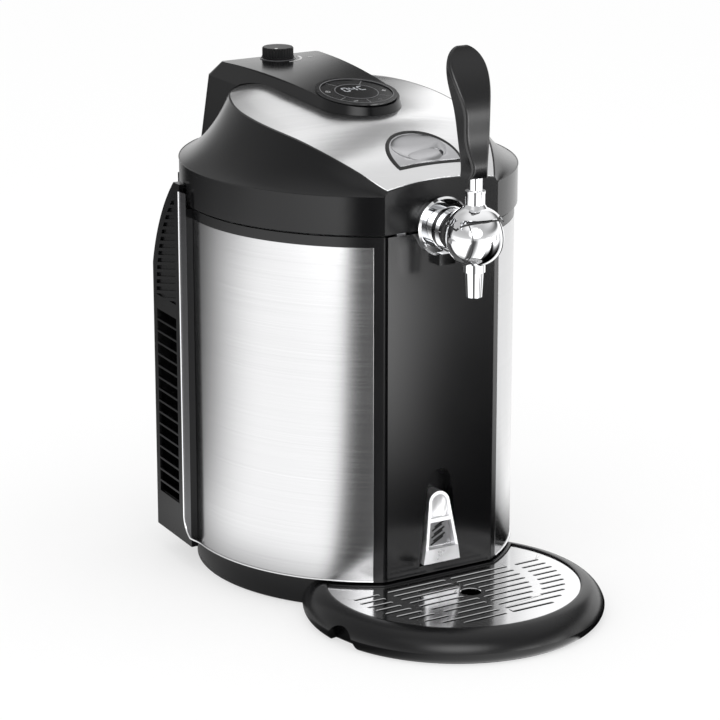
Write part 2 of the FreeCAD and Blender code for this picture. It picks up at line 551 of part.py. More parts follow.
board += [rod(f"board_can{i}", "5", x, f"{BOARD_Y} + 4", "board_high - 14", "11", "Y")
          for i, x in enumerate(("-24", "-10"))]
board += [rod(f"board_post{i}", "2.5", x, BOARD_Y, z, "3", "Y")
          for i, (x, z) in enumerate([(x, z) for x in ("-board_half + 5", "board_half - 5")
                                      for z in ("board_low + 5", "board_high - 5")])]
piece("power_board", fuse("board_joined", *board))
inlet_block = fuse("inlet_block", box("inlet_body", "inlet_x - 13.8", "inlet_x + 13.8", "spine_back - 12",
                                      "spine_back + 0.5", "inlet_z - 10.8", "inlet_z + 10.8"),
                   box("inlet_flange", "inlet_x - 17", "inlet_x + 17", "spine_back", "spine_back + 1.8",
                       "inlet_z - 14", "inlet_z + 14"))
inlet_room = box("inlet_room", "inlet_x - 12", "inlet_x + 12", "spine_back - 10", "spine_back + 3",
                 "inlet_z - 8", "inlet_z + 8")
blades_in = [box(f"inlet_pin{i}", f"inlet_x + {x} - 1", f"inlet_x + {x} + 1", "spine_back - 11",
                 "spine_back - 2", f"inlet_z + {z} - 2", f"inlet_z + {z} + 2")
             for i, (x, z) in enumerate(((-7, -2), (0, 2), (7, -2)))]
piece("power_inlet", fuse("inlet_joined", cut("inlet_cut", inlet_block, inlet_room), *blades_in))

# ---------------------------------------------------------------- tap, fixed parts
FLANGE_BACK = "(-front_reach - fit_gap)"
FLANGE_FACE = f"({FLANGE_BACK} - flange_thick)"
flange_disc = turned("flange_disc", "XY_Plane",
                     [("shank_radius + 0.1", FLANGE_BACK), ("flange_radius", FLANGE_BACK),
                      ("flange_radius", f"{FLANGE_FACE} + 1.5"), ("flange_radius - 1.5", FLANGE_FACE),
                      ("shank_radius + 0.1", FLANGE_FACE)], z="tap_z")
flange_tab = box("flange_tab", "-7.5", "7.5", f"{FLANGE_FACE} - 4", FLANGE_BACK, "tap_z - flange_radius - 6",
                 "tap_z - flange_radius + 3")
piece("tap_flange", fuse("flange_joined", flange_disc, flange_tab))
SHANK_TIP = f"({FLANGE_FACE} - 7)"
piece("tap_shank", tube("shank", "shank_radius", "shank_bore", "0", SHANK_TIP, "tap_z",
                        f"-shank_tail - {SHANK_TIP}", "Y"))
NUT_Y = f"(-front_reach + {WALL_INSET} + fit_gap)"
nut_hex = doc.addObject("Part::Prism", "nut_hex")
nut_hex.Polygon = 6
nut_hex.Placement = Placement(Vector(), TURNS["Y"])
bind(nut_hex, {"Circumradius": "nut_radius", "Height": "nut_thick"})
at(nut_hex, "0", NUT_Y, "tap_z")
piece("shank_nut", cut("nut_cut", nut_hex, rod("nut_bore", "shank_radius + running_gap", "0",
                                               f"{NUT_Y} - 1", "tap_z", "nut_thick + 2", "Y")))
COLLAR_Y = "(-neck_end + 10)"
piece("tap_neck", turned("tap_neck", "XY_Plane",
                         [("shank_radius + 0.1", FLANGE_FACE), ("neck_radius", FLANGE_FACE),
                          ("neck_radius", COLLAR_Y), ("collar_radius", COLLAR_Y),
                          ("collar_radius", f"{COLLAR_Y} - collar_thick"),
                          ("neck_radius + 1.2", f"{COLLAR_Y} - collar_thick"),
                          ("neck_radius + 1.2", "-neck_end"), ("shank_bore", "-neck_end"),
                          ("shank_bore", f"{SHANK_TIP} - 0.1"),
                          ("shank_radius + 0.1", f"{SHANK_TIP} - 0.1")], z="tap_z"))
seal = doc.addObject("Part::Torus", "seal_ring")
seal.Placement = Placement(Vector(), TURNS["Y"])
bind(seal, {"Radius1": "neck_radius - 0.5", "Radius2": "seal_radius"})
piece("tap_seal", at(seal, "0", "-neck_end - seal_radius - 0.1", "tap_z"))
ball_sphere = doc.addObject("Part::Sphere", "ball_sphere")
at(bind(ball_sphere, {"Radius": "ball_radius"}), "0", "ball_y", "tap_z")
BOSS = "(neck_radius - seal_radius - 0.7)"
ball_boss = rod("ball_boss", BOSS, "0", "ball_y", "tap_z", "-neck_end - ball_y - 0.1", "Y")
LEVER_ROOM = "(lever_root + 0.5)"
ball_cuts = [
    box("ball_foot", "-ball_radius", "ball_radius", "ball_y - ball_radius", "ball_y + ball_radius",
        "tap_z - ball_radius - 1", "tap_z - spout_top"),
    box("ball_slot", f"-{LEVER_ROOM}", LEVER_ROOM, "ball_y - 15", f"ball_y + {LEVER_ROOM}", "tap_z",
        "tap_z + ball_radius + 1"),
    box("ball_toe", f"-{LEVER_ROOM}", LEVER_ROOM, f"ball_y - {LEVER_ROOM}", "ball_y + 8.4",
        "tap_z - toe_drop - 0.8", "tap_z"),
    rod("ball_eye", "lever_eye + 0.5", "-3.2", "ball_y", "tap_z", "6.4", "X"),
    rod("ball_pivot", "pivot_radius + running_gap", "-ball_radius - 1", "ball_y", "tap_z",
        "2 * ball_radius + 2", "X"),
    rod("ball_plunger", "plunger_radius + running_gap", "0", "ball_y", "tap_z - plunger_drop",
        "-neck_end - ball_y - 1.2", "Y"),
    rod("ball_outlet", "spout_bore - 0.6", "0", "ball_y", "tap_z - ball_radius - 1", "ball_radius - 8", "Z"),
]
piece("tap_ball", cut("ball_cut", fuse("ball_body", ball_sphere, ball_boss), *ball_cuts))
SPOUT_HIGH = "(tap_z - spout_top)"
piece("spout", turned("spout", "XZ_Plane",
                      [("spout_bore", "spout_tip"), ("spout_tip_radius", "spout_tip"),
                       ("spout_radius", "spout_shoulder"), ("spout_collar", "spout_shoulder"),
                       ("spout_collar", SPOUT_HIGH), ("spout_bore", SPOUT_HIGH)], y="ball_y"))
piece("pivot_pin", rod("pivot_rod", "pivot_radius", "-ball_radius + 0.3", "ball_y", "tap_z",
                       "2 * ball_radius - 0.6", "X"))

# ---------------------------------------------------------------- tap, moving parts
def sphere(name, radius):
    """A sphere about the ball's centre."""
    ball = doc.addObject("Part::Sphere", name)
    return at(bind(ball, {"Radius": radius}), "0", "ball_y", "tap_z")


CAP_IN = "(ball_radius + cap_gap)"
CAP_OUT = f"({CAP_IN} + cap_wall)"
cap_cone = doc.addObject("Part::Cone", "cap_cone")
bind(cap_cone, {"Radius1": "stem_collar + 7", "Radius2": "stem_collar", "Height": "10"})
at(cap_cone, "0", "ball_y", "collar_low - 10")
cap_body = fuse("cap_body", sphere("cap_outer", CAP_OUT), cap_cone,
                rod("cap_neck", "stem_collar", "0", "ball_y", "collar_low - 1", "collar_high - collar_low + 1"),
                rod("cap_lip", "stem_collar + 0.3", "0", "ball_y", "collar_high - 2", "2"))
CAP_BACK = f"ball_y - {CAP_OUT} - 1"
CAP_SPAN = f"2 * {CAP_OUT} + 2"
cap_cuts = [sphere("cap_inner", CAP_IN),
            box("cap_low", f"-{CAP_OUT} - 1", f"{CAP_OUT} + 1", CAP_BACK, f"ball_y + {CAP_OUT} + 1",
                f"tap_z - {CAP_OUT} - 1", "tap_z + cap_ear"),
            box("cap_window", "-cap_flat", "cap_flat", CAP_BACK, f"ball_y + {CAP_OUT} + 1", "tap_z",
                "tap_z + cap_ear + cap_corner"),
            rod("cap_corner_left", "cap_corner", "-cap_flat", CAP_BACK, "tap_z + cap_ear", CAP_SPAN, "Y"),
            rod("cap_corner_right", "cap_corner", "cap_flat", CAP_BACK, "tap_z + cap_ear", CAP_SPAN, "Y"),
            rod("cap_cheeks", "cheek_radius", f"-{CAP_OUT} - 1", "ball_y", "tap_z + cheek_lift", CAP_SPAN, "X"),
            rod("cap_bore", "stem_radius + 0.1", "0", "ball_y", f"tap_z + {CAP_IN} + 2", "40"),
            rod("cap_way", "lever_root + 0.1", "0", "ball_y", "tap_z", "40")]
piece("tap_cap", cut("cap_cut", cap_body, *cap_cuts))
stem_body = fuse("stem_body",
                 rod("stem_upper", "stem_radius", "0", "ball_y", f"tap_z + {CAP_IN} + 2.1",
                     f"handle_low - tap_z - {CAP_IN} - 2.1"),
                 rod("stem_stud", "stud_radius", "0", "ball_y", "handle_low - 1", "handle_bore + 1"),
                 rod("stem_root", "lever_root", "0", "ball_y", "tap_z - toe_drop",
                     f"{CAP_IN} + toe_drop + 3"),
                 rod("stem_eye", "lever_eye", "-2.9", "ball_y", "tap_z", "5.8", "X"))
piece("lever_stem", cut("stem_cut", stem_body, rod("stem_pivot", "pivot_radius + running_gap", "-4", "ball_y",
                                                   "tap_z", "8", "X")))
# the grip from its foot to its tip: share of the height, front and back from the ball, half width
GRIP = [(0, -4.7, 9, 9.8), (0.25, -4.4, 9.8, 10.9), (0.42, -3.6, 12, 12), (0.57, -2.4, 15, 13.2),
        (0.66, 0.6, 16, 15.2), (0.75, 4.6, 17.2, 16.8), (0.84, 9.6, 18.2, 17.2), (0.92, 14.6, 19.8, 14.6),
        (1, 18.6, 21.4, 5)]


def grip_section(share, front, back, half):
    """A rounded rectangle across the grip."""
    level = size("handle_low") + share * (size("handle_high") - size("handle_low"))
    centre = size("ball_y")
    corner = min(3, (back - front) / 3, half / 3)
    ring = []
    for sx, sy in ((1, 1), (-1, 1), (-1, -1), (1, -1)):
        across = sx * (half - corner)
        along = centre + (back - corner if sy > 0 else front + corner)
        middle = Vector(across, along, level)
        first, last = Vector(sx * corner, 0, 0), Vector(0, sy * corner, 0)
        if sx * sy < 0:
            first, last = last, first
        diagonal = (first + last).normalize() * corner
        ring.append((middle + first, middle + diagonal, middle + last))
    edges = []
    for index, (first, between, last) in enumerate(ring):
        edges.append(Part.Arc(first, between, last).toShape())
        edges.append(Part.makeLine(last, ring[(index + 1) % 4][0]))
    return Part.Wire(edges)


grip = Part.makeLoft([grip_section(*station) for station in GRIP], True, False)
grip_room = Part.makeCylinder(size("stud_radius") + 0.1, size("handle_bore") + 1.2,
                              Vector(0, size("ball_y"), size("handle_low") - 1))
piece("tap_handle", computed("grip_shape", grip.cut(grip_room)))
piece("valve_plunger", rod("plunger_rod", "plunger_radius", "0", "ball_y + plunger_front",
                           "tap_z - plunger_drop", "plunger_length", "Y"))

# ---------------------------------------------------------------- drip tray and its plate
def spun(profile):
    """A solid of revolution about the tray's upright axis from a chain of points and arcs."""
    edges = []
    for first, second in zip(profile, profile[1:] + profile[:1]):
        start, end = Vector(first[0], 0, first[1]), Vector(second[0], 0, second[1])
        if len(first) == 4:
            edges.append(Part.Arc(start, Vector(first[2], 0, first[3]), end).toShape())
        else:
            edges.append(Part.makeLine(start, end))
    solid = Part.Face(Part.Wire(edges)).revolve(Vector(), Vector(0, 0, 1), 360)
    return solid.translate(Vector(0, size("tray_y"), 0))


def disc(radius, low, high, x=0, y=None):
    """An upright cylinder, about the tray's axis unless told otherwise."""
    centre = Vector(x, size("tray_y") if y is None else y, low)
    return Part.makeCylinder(radius, high - low, centre)


TRAY_WALL = 2.5
rim, waist, bulge_radius = size("rim_top"), size("tray_waist"), size("tray_radius")
pocket_radius = size("plate_radius") + size("fit_gap")
ledge = size("plate_level") - size("plate_thick") - size("fit_gap")
tray_outer = spun([(0, 0), (waist, 0, bulge_radius - 1, 4),
                   (bulge_radius, size("tray_bulge"), size("rim_middle"), size("rim_rise")),
                   (size("rim_flat"), rim), (0, rim)])
tray_channel = spun([(size("well_radius") + TRAY_WALL, -1), (waist - 1.5, -1),
                     (bulge_radius - TRAY_WALL, size("tray_bulge")),
                     (size("rim_middle") - 4, ledge - TRAY_WALL),
                     (size("well_radius") + TRAY_WALL, ledge - TRAY_WALL)])
behind = size("plinth_inset") - 1
tray_back = lens_shape(behind, -2, rim + 1)
tray_back_wall = lens_shape(behind - TRAY_WALL, -2, rim + 1)
PLATE_BACK = -1.2
plate_back = lens_shape(PLATE_BACK, -2, rim + 1)
pocket = disc(pocket_radius, ledge, rim + 1).cut(lens_shape(PLATE_BACK + size("fit_gap"), -2, rim + 2))
well = disc(size("well_radius"), size("well_floor"), rim + 1).cut(lens_shape(PLATE_BACK - 4, -2, rim + 2))
notches, notch_walls = [], []
for sign in (-1, 1):
    outward = Vector(sign * math.cos(math.radians(9)), -math.sin(math.radians(9)), 0)
    start = Vector(0, size("tray_y"), 0) + outward * (bulge_radius - size("notch_depth"))
    notches.append(Part.makeCylinder(size("notch_radius"), 30, start, outward))
    notch_walls.append(Part.makeCylinder(size("notch_radius") + TRAY_WALL, 30, start - outward * TRAY_WALL,
                                         outward))
tray_shape = tray_outer.cut(tray_channel.cut([tray_back_wall, *notch_walls])).cut([tray_back, *notches])
piece("tray_body", computed("tray_shape", tray_shape.cut([pocket, well])))


def slot(first, last, y):
    """A round-ended slot through the plate along X."""
    radius = size("slot_width") / 2
    low, high = ledge - 1, rim + 1
    middle = Part.makeBox(last - first - 2 * radius, 2 * radius, high - low,
                          Vector(first + radius, y - radius, low))
    return middle.fuse([disc(radius, low, high, first + radius, y), disc(radius, low, high, last - radius, y)])


slots = []
for row in range(10):
    y = size("tray_y") + 8 - row * size("slot_pitch")
    reach = math.sqrt(size("slot_reach") ** 2 - (y - size("tray_y")) ** 2)
    inner = 11 if abs(y - size("drain_y")) < size("drain_radius") + 4 else 3
    spans = [(inner, reach - size("slot_ring") - 9), (reach - size("slot_ring"), reach)]
    if reach < 60:
        spans = [(inner, reach)]
    for first, last in spans:
        slots += [slot(first, last, y), slot(-last, -first, y)]
plate = disc(size("plate_radius"), ledge + size("fit_gap"), size("plate_level"))
drain = disc(size("drain_radius"), 0, rim + 1, 0, size("drain_y"))
piece("drip_plate", computed("plate_shape", plate.cut([plate_back, drain, *slots])))

# ---------------------------------------------------------------- lid surfaces
def ring_half(y, inset=0):
    """Half the lid's width at its upright ring."""
    radius = size("arc_radius") - inset
    return size("half_width") - size("arc_radius") + math.sqrt(radius ** 2 - y ** 2)


def plate_half(y, inset=0):
    """Half the width of the sloping top."""
    radius = size("plate_side_arc") if y < 0 else size("plate_arc")
    widest = size("plate_arc") + size("half_width") - size("arc_radius")
    return widest - radius + math.sqrt((radius - inset) ** 2 - min(y, size("plate_end")) ** 2)


def rim_height(y, drop=0):
    """The height of the sloping top's edge: flat behind, then a slope, then a bend down to the front."""
    angle, start = math.radians(size("plate_slope")), size("bend_start")
    if y >= start:
        return size("plate_z") + math.tan(angle) * min(y, size("plate_flat")) - drop
    radius = size("bend_radius")
    middle = start + radius * math.sin(angle)
    foot = size("plate_z") + math.tan(angle) * start - radius * math.cos(angle)
    return foot + math.sqrt((radius - drop) ** 2 - (y - middle) ** 2)


def crown_rise(y):
    """How far the middle of the sloping top stands above its edges."""
    share = max(0, -y - 50) / (size("front_reach") - 50)
    return min(size("crown") - size("crown_fall") * share, 0.1 * plate_half(y))


def lid_section(y, inset, drop, low):
    """The lid cut across: upright ring, concave flare, crowned top."""
    wide, narrow, edge = ring_half(y, inset), plate_half(y, inset), rim_height(y, drop)
    ring = size("ring_top") - (1 if inset > 0 else 0)
    bend = (wide - 0.6 * (wide - narrow), ring + 0.25 * (edge - ring))
    sides = []
    for sign in (1, -1):
        curve = Part.BezierCurve()
        curve.setPoles([Vector(sign * wide, y, ring), Vector(sign * bend[0], y, bend[1]),
                        Vector(sign * narrow, y, edge)])
        sides.append(curve.toBSpline().toShape())
    top = Part.Arc(Vector(narrow, y, edge), Vector(0, y, edge + crown_rise(y)), Vector(-narrow, y, edge))
    foot = [Vector(-wide, y, low), Vector(wide, y, low)]
    return Part.Wire([Part.makeLine(foot[0], foot[1]), Part.makeLine(foot[1], Vector(wide, y, ring)),
                      sides[0], top.toShape(), sides[1], Part.makeLine(Vector(-wide, y, ring), foot[0])])


def along(first, last, count):
    """Evenly spaced stations from first to last."""
    return [first + (last - first) * i / (count - 1) for i in range(count)]


def crown_section(y, inset, low, high):
    """A band that follows the sloping top between two offsets from it."""
    half, edge, rise = plate_half(y), rim_height(y), crown_rise(y)
    radius = (half ** 2 + rise ** 2) / (2 * rise)
    across = half - inset
    shoulder = edge + rise - radius + math.sqrt(radius ** 2 - across ** 2)
    under = Part.Arc(Vector(-across, y, shoulder + low), Vector(0, y, edge + rise + low),
                     Vector(across, y, shoulder + low))
    over = Part.Arc(Vector(across, y, shoulder + high), Vector(0, y, edge + rise + high),
                    Vector(-across, y, shoulder + high))
    return Part.Wire([under.toShape(),
                      Part.makeLine(Vector(across, y, shoulder + low), Vector(across, y, shoulder + high)),
                      over.toShape(),
                      Part.makeLine(Vector(-across, y, shoulder + high), Vector(-across, y, shoulder + low))])


def crown_band(inset, low, high, first, last, count=12):
    """A solid following the sloping top from a first station back to a last one."""
    stations = along(-size("front_reach"), 98, count)
    band = Part.makeLoft([crown_section(y, inset, low, high) for y in stations], True, False)
    return band.common(Part.makeBox(300, last - first, 300, Vector(-150, first, 250)))


def lid_solid(inset, drop, low, count=14):
    """The lid's whole volume drawn in by an inset and a drop."""
    stations = along(-size("front_reach") + inset, size("back_reach") - inset, count)
    return Part.makeLoft([lid_section(y, inset, drop, low) for y in stations], True, False)


# ---------------------------------------------------------------- lid shell and its steel top
lid_low = size("body_top") + size("seam")
wall, sheet_drop = size("lid_wall"), size("sheet") + 0.15
lid_outer = lid_solid(0, 0, lid_low)
lid_inner = lid_solid(wall, wall + sheet_drop, lid_low - 1)
front = -size("front_reach")
sheet_pocket = crown_band(size("sheet_gap"), -sheet_drop, 60, front + size("sheet_gap"), 96)


def half_moon(grow):
    """An upright half-moon block, the button's plan grown by a gap."""
    centre = size("button_y")
    round_block = disc(size("button_radius") + grow, 300, 420, 0, centre)
    cut_away = Part.makeBox(200, 100, 200, Vector(-100, -size("button_chord") - grow - 100, 280))
    return round_block.cut(cut_away)


tap_notch = Part.makeCylinder(size("shank_radius") + 1, 12, Vector(0, front - 4, size("tap_z")),
                              Vector(0, 1, 0))
regulator_way = Part.makeCylinder(size("regulator_radius") + 0.3, 60,
                                  Vector(0, size("knob_y"), size("regulator_low")))
shell = lid_outer.cut(lid_inner).cut([sheet_pocket, half_moon(size("button_gap")), tap_notch, regulator_way])
pin_line = Part.makeCylinder(size("hinge_pin") + size("running_gap"), 400,
                             Vector(-200, size("hinge_y"), size("hinge_z")), Vector(1, 0, 0))
knuckles = []
for sign in (-1, 1):
    first = size("knuckle_in") if sign > 0 else -size("knuckle_out")
    width = size("knuckle_out") - size("knuckle_in")
    barrel = Part.makeCylinder(size("knuckle"), width, Vector(first, size("hinge_y"), size("hinge_z")),
                               Vector(1, 0, 0))
    arm = Part.makeBox(width, size("hinge_y") - size("back_reach") + 1.5, 13,
                       Vector(first, size("back_reach") - 1.5, lid_low))
    link = Part.makeBox(width, 2 * size("knuckle"), lid_low - size("hinge_z") + 4,
                        Vector(first, size("hinge_y") - size("knuckle"), size("hinge_z")))
    knuckles += [barrel, arm, link]
piece("lid_shell", computed("lid_shape", shell.fuse(knuckles).cut(pin_line)))
top_sheet = crown_band(size("sheet_gap") + 0.5, -size("sheet"), 0, front + size("sheet_gap") + 0.5, 95)
piece("top_plate", computed("top_sheet", top_sheet.cut([half_moon(size("button_gap"))])))
piece("lid_inner_cover", cut("cover_trimmed", lens("inner_sheet", "lid_wall + 0.8", "inner_low",
                                                   "inner_low + inner_thick"),
                             box("inner_front", "-half_width", "half_width", "-front_reach",
                                 "-front_reach + 23", "inner_low - 1", "inner_low + inner_thick + 1")))
FOAM_LOW = "(inner_low + inner_thick + fit_gap)"
piece("lid_foam", cut("lid_foam_cut", lens("lid_foam_block", "22", FOAM_LOW, "regulator_low - fit_gap"),
                      box("lid_foam_front", "-half_width", "half_width", "-front_reach",
                          "-front_reach + 38", "inner_low", "regulator_low")))
piece("lid_gasket", tube("gasket_ring", "gasket_radius + gasket_width", "gasket_radius", "0", "chamber_y",
                         "body_top + fit_gap", "inner_low - body_top - fit_gap"))

# ---------------------------------------------------------------- latch
button_band = crown_band(size("sheet_gap"), -size("button_thick") + size("button_proud"),
                         size("button_proud"), -128, -74)
STEM_BACK, STEM_FRONT, STEM_LOW, STEM_TOP = -110, -117, 336, 367.5
stem_side = [Vector(-4, STEM_FRONT, STEM_LOW), Vector(-4, STEM_BACK, STEM_LOW + STEM_BACK - STEM_FRONT),
             Vector(-4, STEM_BACK, STEM_TOP), Vector(-4, STEM_FRONT, STEM_TOP)]
button_stem = Part.Face(Part.makePolygon(stem_side + stem_side[:1])).extrude(Vector(8, 0, 0))
piece("latch_button", computed("button_shape", half_moon(0).common(button_band).fuse(button_stem)))
ramp_side = [Vector(-4.5, -121, 335), Vector(-4.5, STEM_FRONT - 1 + 0.42, 335),
             Vector(-4.5, STEM_FRONT + 5 + 0.42, 341), Vector(-4.5, -121, 341)]
ramp_room = Part.Face(Part.makePolygon(ramp_side + ramp_side[:1])).extrude(Vector(9, 0, 0))
hook_parts = [Part.makeBox(80, 9.2, 7, Vector(-40, -138.2, 333)),
              Part.makeBox(16, 24, 4, Vector(-8, -130, 336))]
for sign in (-1, 1):
    hook_parts.append(Part.makeBox(size("hook_width"), 3, 18,
                                   Vector(sign * size("hook_x") - size("hook_width") / 2, -134.3, 316)))
piece("latch_hook", computed("hook_shape", hook_parts[0].fuse(hook_parts[1:]).cut(ramp_room)))
keepers = [box(f"keeper{i}", f"{i}*hook_x - hook_width / 2", f"{i}*hook_x + hook_width / 2",
               "-front_reach + 3.6", "-front_reach + 6.4", "body_top", "body_top + 12") for i in (-1, 1)]
piece("latch_keeper", fuse("keepers_joined", *keepers))

# ---------------------------------------------------------------- gas regulator in the lid
piece("regulator_body", cut("regulator_cut",
                            rod("regulator_block", "regulator_radius", "0", "knob_y", "regulator_low",
                                "regulator_top - regulator_low"),
                            rod("regulator_bore", "knob_stem + running_gap", "0", "knob_y",
                                "regulator_top - 14", "15")))
HOLDER_BACK = "(knob_y - regulator_radius - 0.2)"
piece("cartridge_holder", cut("holder_cut",
                              rod("holder_block", "holder_radius", "0", "holder_front", "holder_z",
                                  f"{HOLDER_BACK} - holder_front", "Y"),
                              rod("holder_bore", "holder_radius - 1.3", "0", "holder_front + 2", "holder_z",
                                  "200", "Y")))
flutes = []
for i in range(int(size("knob_flutes"))):
    turn = math.radians(360 * i / size("knob_flutes"))
    centre = size("knob_radius") + 0.5
    flutes.append(Part.makeCylinder(1.1, 20, Vector(centre * math.cos(turn), centre * math.sin(turn),
                                                    size("knob_base") + 1.2)))
knob_height = size("knob_top") - size("knob_base")
grip_block = Part.makeCylinder(size("knob_radius"), knob_height, Vector(0, 0, size("knob_base")))
top_edge = [edge for edge in grip_block.Edges if edge.BoundBox.ZMin > size("knob_top") - 0.1]
grip_block = grip_block.makeChamfer(0.8, top_edge).cut(flutes)
knob_flange = Part.makeCylinder(size("knob_radius") + 0.5, 1.2, Vector(0, 0, size("knob_base")))
knob_shaft = Part.makeCylinder(size("knob_stem"), 16, Vector(0, 0, size("knob_base") - 15))
piece("regulator_knob", at(computed("knob_shape", grip_block.fuse([knob_flange, knob_shaft])),
                           "0", "knob_y", "0"))

# ---------------------------------------------------------------- control pod
def pod_wire(depth, nose_grow, grow, back, corner):
    """The pod's plan on a plane parallel to its sloping top: a round nose and two straight sides."""
    nose, centre = size("pod_nose") + nose_grow, size("pod_nose_y")
    half = size("pod_back_half") + grow
    reach = math.hypot(half, back - centre)
    angle = math.atan2(back - centre, half) - math.acos(nose / reach)
    turn = Vector(nose * math.cos(angle), centre + nose * math.sin(angle), 0)
    tip = Vector(0, centre - nose, 0)
    slant = (Vector(half, back, 0) - turn).normalize()
    side_end = Vector(half, back, 0) - slant * corner
    back_end = Vector(half - corner, back, 0)
    bulge = (side_end + back_end) * 0.5 + Vector(0.3, 0.3, 0) * corner * 0.7
    mirror = lambda point: Vector(-point.x, point.y, 0)
    edges = [Part.Arc(mirror(turn), tip, turn).toShape(), Part.makeLine(turn, side_end),
             Part.Arc(side_end, bulge, back_end).toShape(), Part.makeLine(back_end, mirror(back_end)),
             Part.Arc(mirror(back_end), mirror(bulge), mirror(side_end)).toShape(),
             Part.makeLine(mirror(side_end), mirror(turn))]
    wire = Part.Wire(edges)
    wire.rotate(Vector(), Vector(1, 0, 0), size("pod_plane"))
    wire.translate(Vector(0, 0, size("pod_high") - depth
                          - size("pod_high_y") * math.tan(math.radians(size("pod_plane")))))
    return wire


def pod_solid(inset, drop, deeper):
    """The pod's volume, drawn in by an inset, under its long curved top."""
    back = size("pod_back") - inset
    sides = Part.makeLoft([pod_wire(-8, -inset, -inset, back, 3),
                           pod_wire(0, -inset, -inset, back, 3),
                           pod_wire(size("pod_flare_depth"), size("nose_flare") - inset,
                                    size("pod_flare") - inset, back + 21, 8),
                           pod_wire(size("pod_skirt_depth") + deeper, size("nose_skirt") - inset,
                                    size("pod_skirt") - inset, back + 30, 9)], True, True)
    radius = size("pod_top_arc")
    under = Part.makeCylinder(radius - drop, 300, Vector(-150, size("pod_high_y"), size("pod_high") - radius),
                              Vector(1, 0, 0))
    return sides.common(under)


lid_room = lid_solid(-0.12, -0.12, lid_low)
DIAL_TURN = Rotation(Vector(1, 0, 0), size("dial_tilt"))


def dial_disc(outer, inner, low, high):
    """A ring or a disc about the dial's own axis."""
    block = Part.makeCylinder(outer, high - low, Vector(0, 0, low))
    return block.cut(Part.makeCylinder(inner, high - low, Vector(0, 0, low))) if inner else block


def dial_piece(node, shape):
    """A piece of the dial, made about the dial's axis and placed on the pod's slope."""
    thing = computed(node + "_shape", shape)
    thing.Placement = Placement(Vector(), DIAL_TURN)
    bind(thing, {"Placement.Rotation.Angle": "dial_tilt * 1 deg"})
    return piece(node, at(thing, "0", "dial_y", "dial_z"))


bore = size("dial_bore")
cup = bore + 1.6
dial_way = dial_disc(cup + 0.2, 0, -8, 8)
dial_way.Placement = Placement(Vector(0, size("dial_y"), size("dial_z")), DIAL_TURN)
stem_way = Part.makeCylinder(size("knob_stem") + 0.6, 60, Vector(0, size("knob_y"), size("pod_high") - 20))
pod = pod_solid(0, 0, 0).cut(pod_solid(size("pod_wall"), size("pod_wall"), 5)).cut(lid_room)
piece("pod_housing", computed("pod_shape", pod.cut([dial_way, stem_way])))


def sector(outer, inner, low, high, start, sweep):
    """A slice of a ring about the dial's axis, from a start angle over a sweep."""
    block = Part.makeCylinder(outer, high - low, Vector(0, 0, low), Vector(0, 0, 1), sweep)
    block.rotate(Vector(), Vector(0, 0, 1), start)
    return block.cut(Part.makeCylinder(inner, high - low, Vector(0, 0, low)))


floor, floor_thick = -size("dial_floor"), 1.2
key_high = size("key_top")
key_low = key_high - size("key_thick")
keys_span = 2 * size("key_wide") + 2 * size("key_narrow")
blank_start = size("key_start") + keys_span + size("key_gap") / 2
blank = sector(bore + 0.5, size("key_in"), floor + 0.5, key_high, blank_start,
               360 - keys_span - size("key_gap"))
bezel = dial_disc(cup, bore, floor, 0.1).fuse([dial_disc(size("dial_radius"), bore, 0.1, 1.3),
                                               dial_disc(cup, 0, floor, floor + floor_thick), blank])
dial_piece("display_bezel", bezel)
dial_piece("display_lens", dial_disc(size("lens_radius"), 0, floor + floor_thick, key_high + 0.2))
dial_piece("control_board", dial_disc(bore - 3, 0, floor - 2.5, floor - 0.9))
turn = size("key_start")
for name, sweep in (("key_power", "key_wide"), ("key_minus", "key_narrow"), ("key_mode", "key_narrow"),
                    ("key_plus", "key_wide")):
    dial_piece(name, sector(size("key_out"), size("key_in"), key_low, key_high, turn + size("key_gap") / 2,
                            size(sweep) - size("key_gap")))
    turn += size(sweep)

# ---------------------------------------------------------------- checks and export
doc.recompute()
for thing in doc.Objects:
    if {"Invalid", "Error"} & set(thing.State):
        raise ValueError(f"{thing.Label} did not compute")
os.makedirs("parts", exist_ok=True)
for thing in pieces:
    if thing.Shape.isNull() or not thing.Shape.isValid():
        raise ValueError(f"{thing.Label} has no valid shape")
    thing.Shape.exportStep(f"parts/{thing.Label}.step")
print(len(pieces), "parts written")
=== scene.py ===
# %% [markdown]
# # A mini keg beer dispenser, dressed
#
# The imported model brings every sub-part of the dispenser as a mesh that already has its
# place and its joint. This lesson gives those meshes their finishes, and adds the small
# pieces that a solid model leaves out: bright trims, printed marks, the glowing numbers of
# the display, the finger scoop of the latch button. It ends with the studio.

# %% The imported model
import bpy
import json
import math
from mathutils import Matrix, Vector

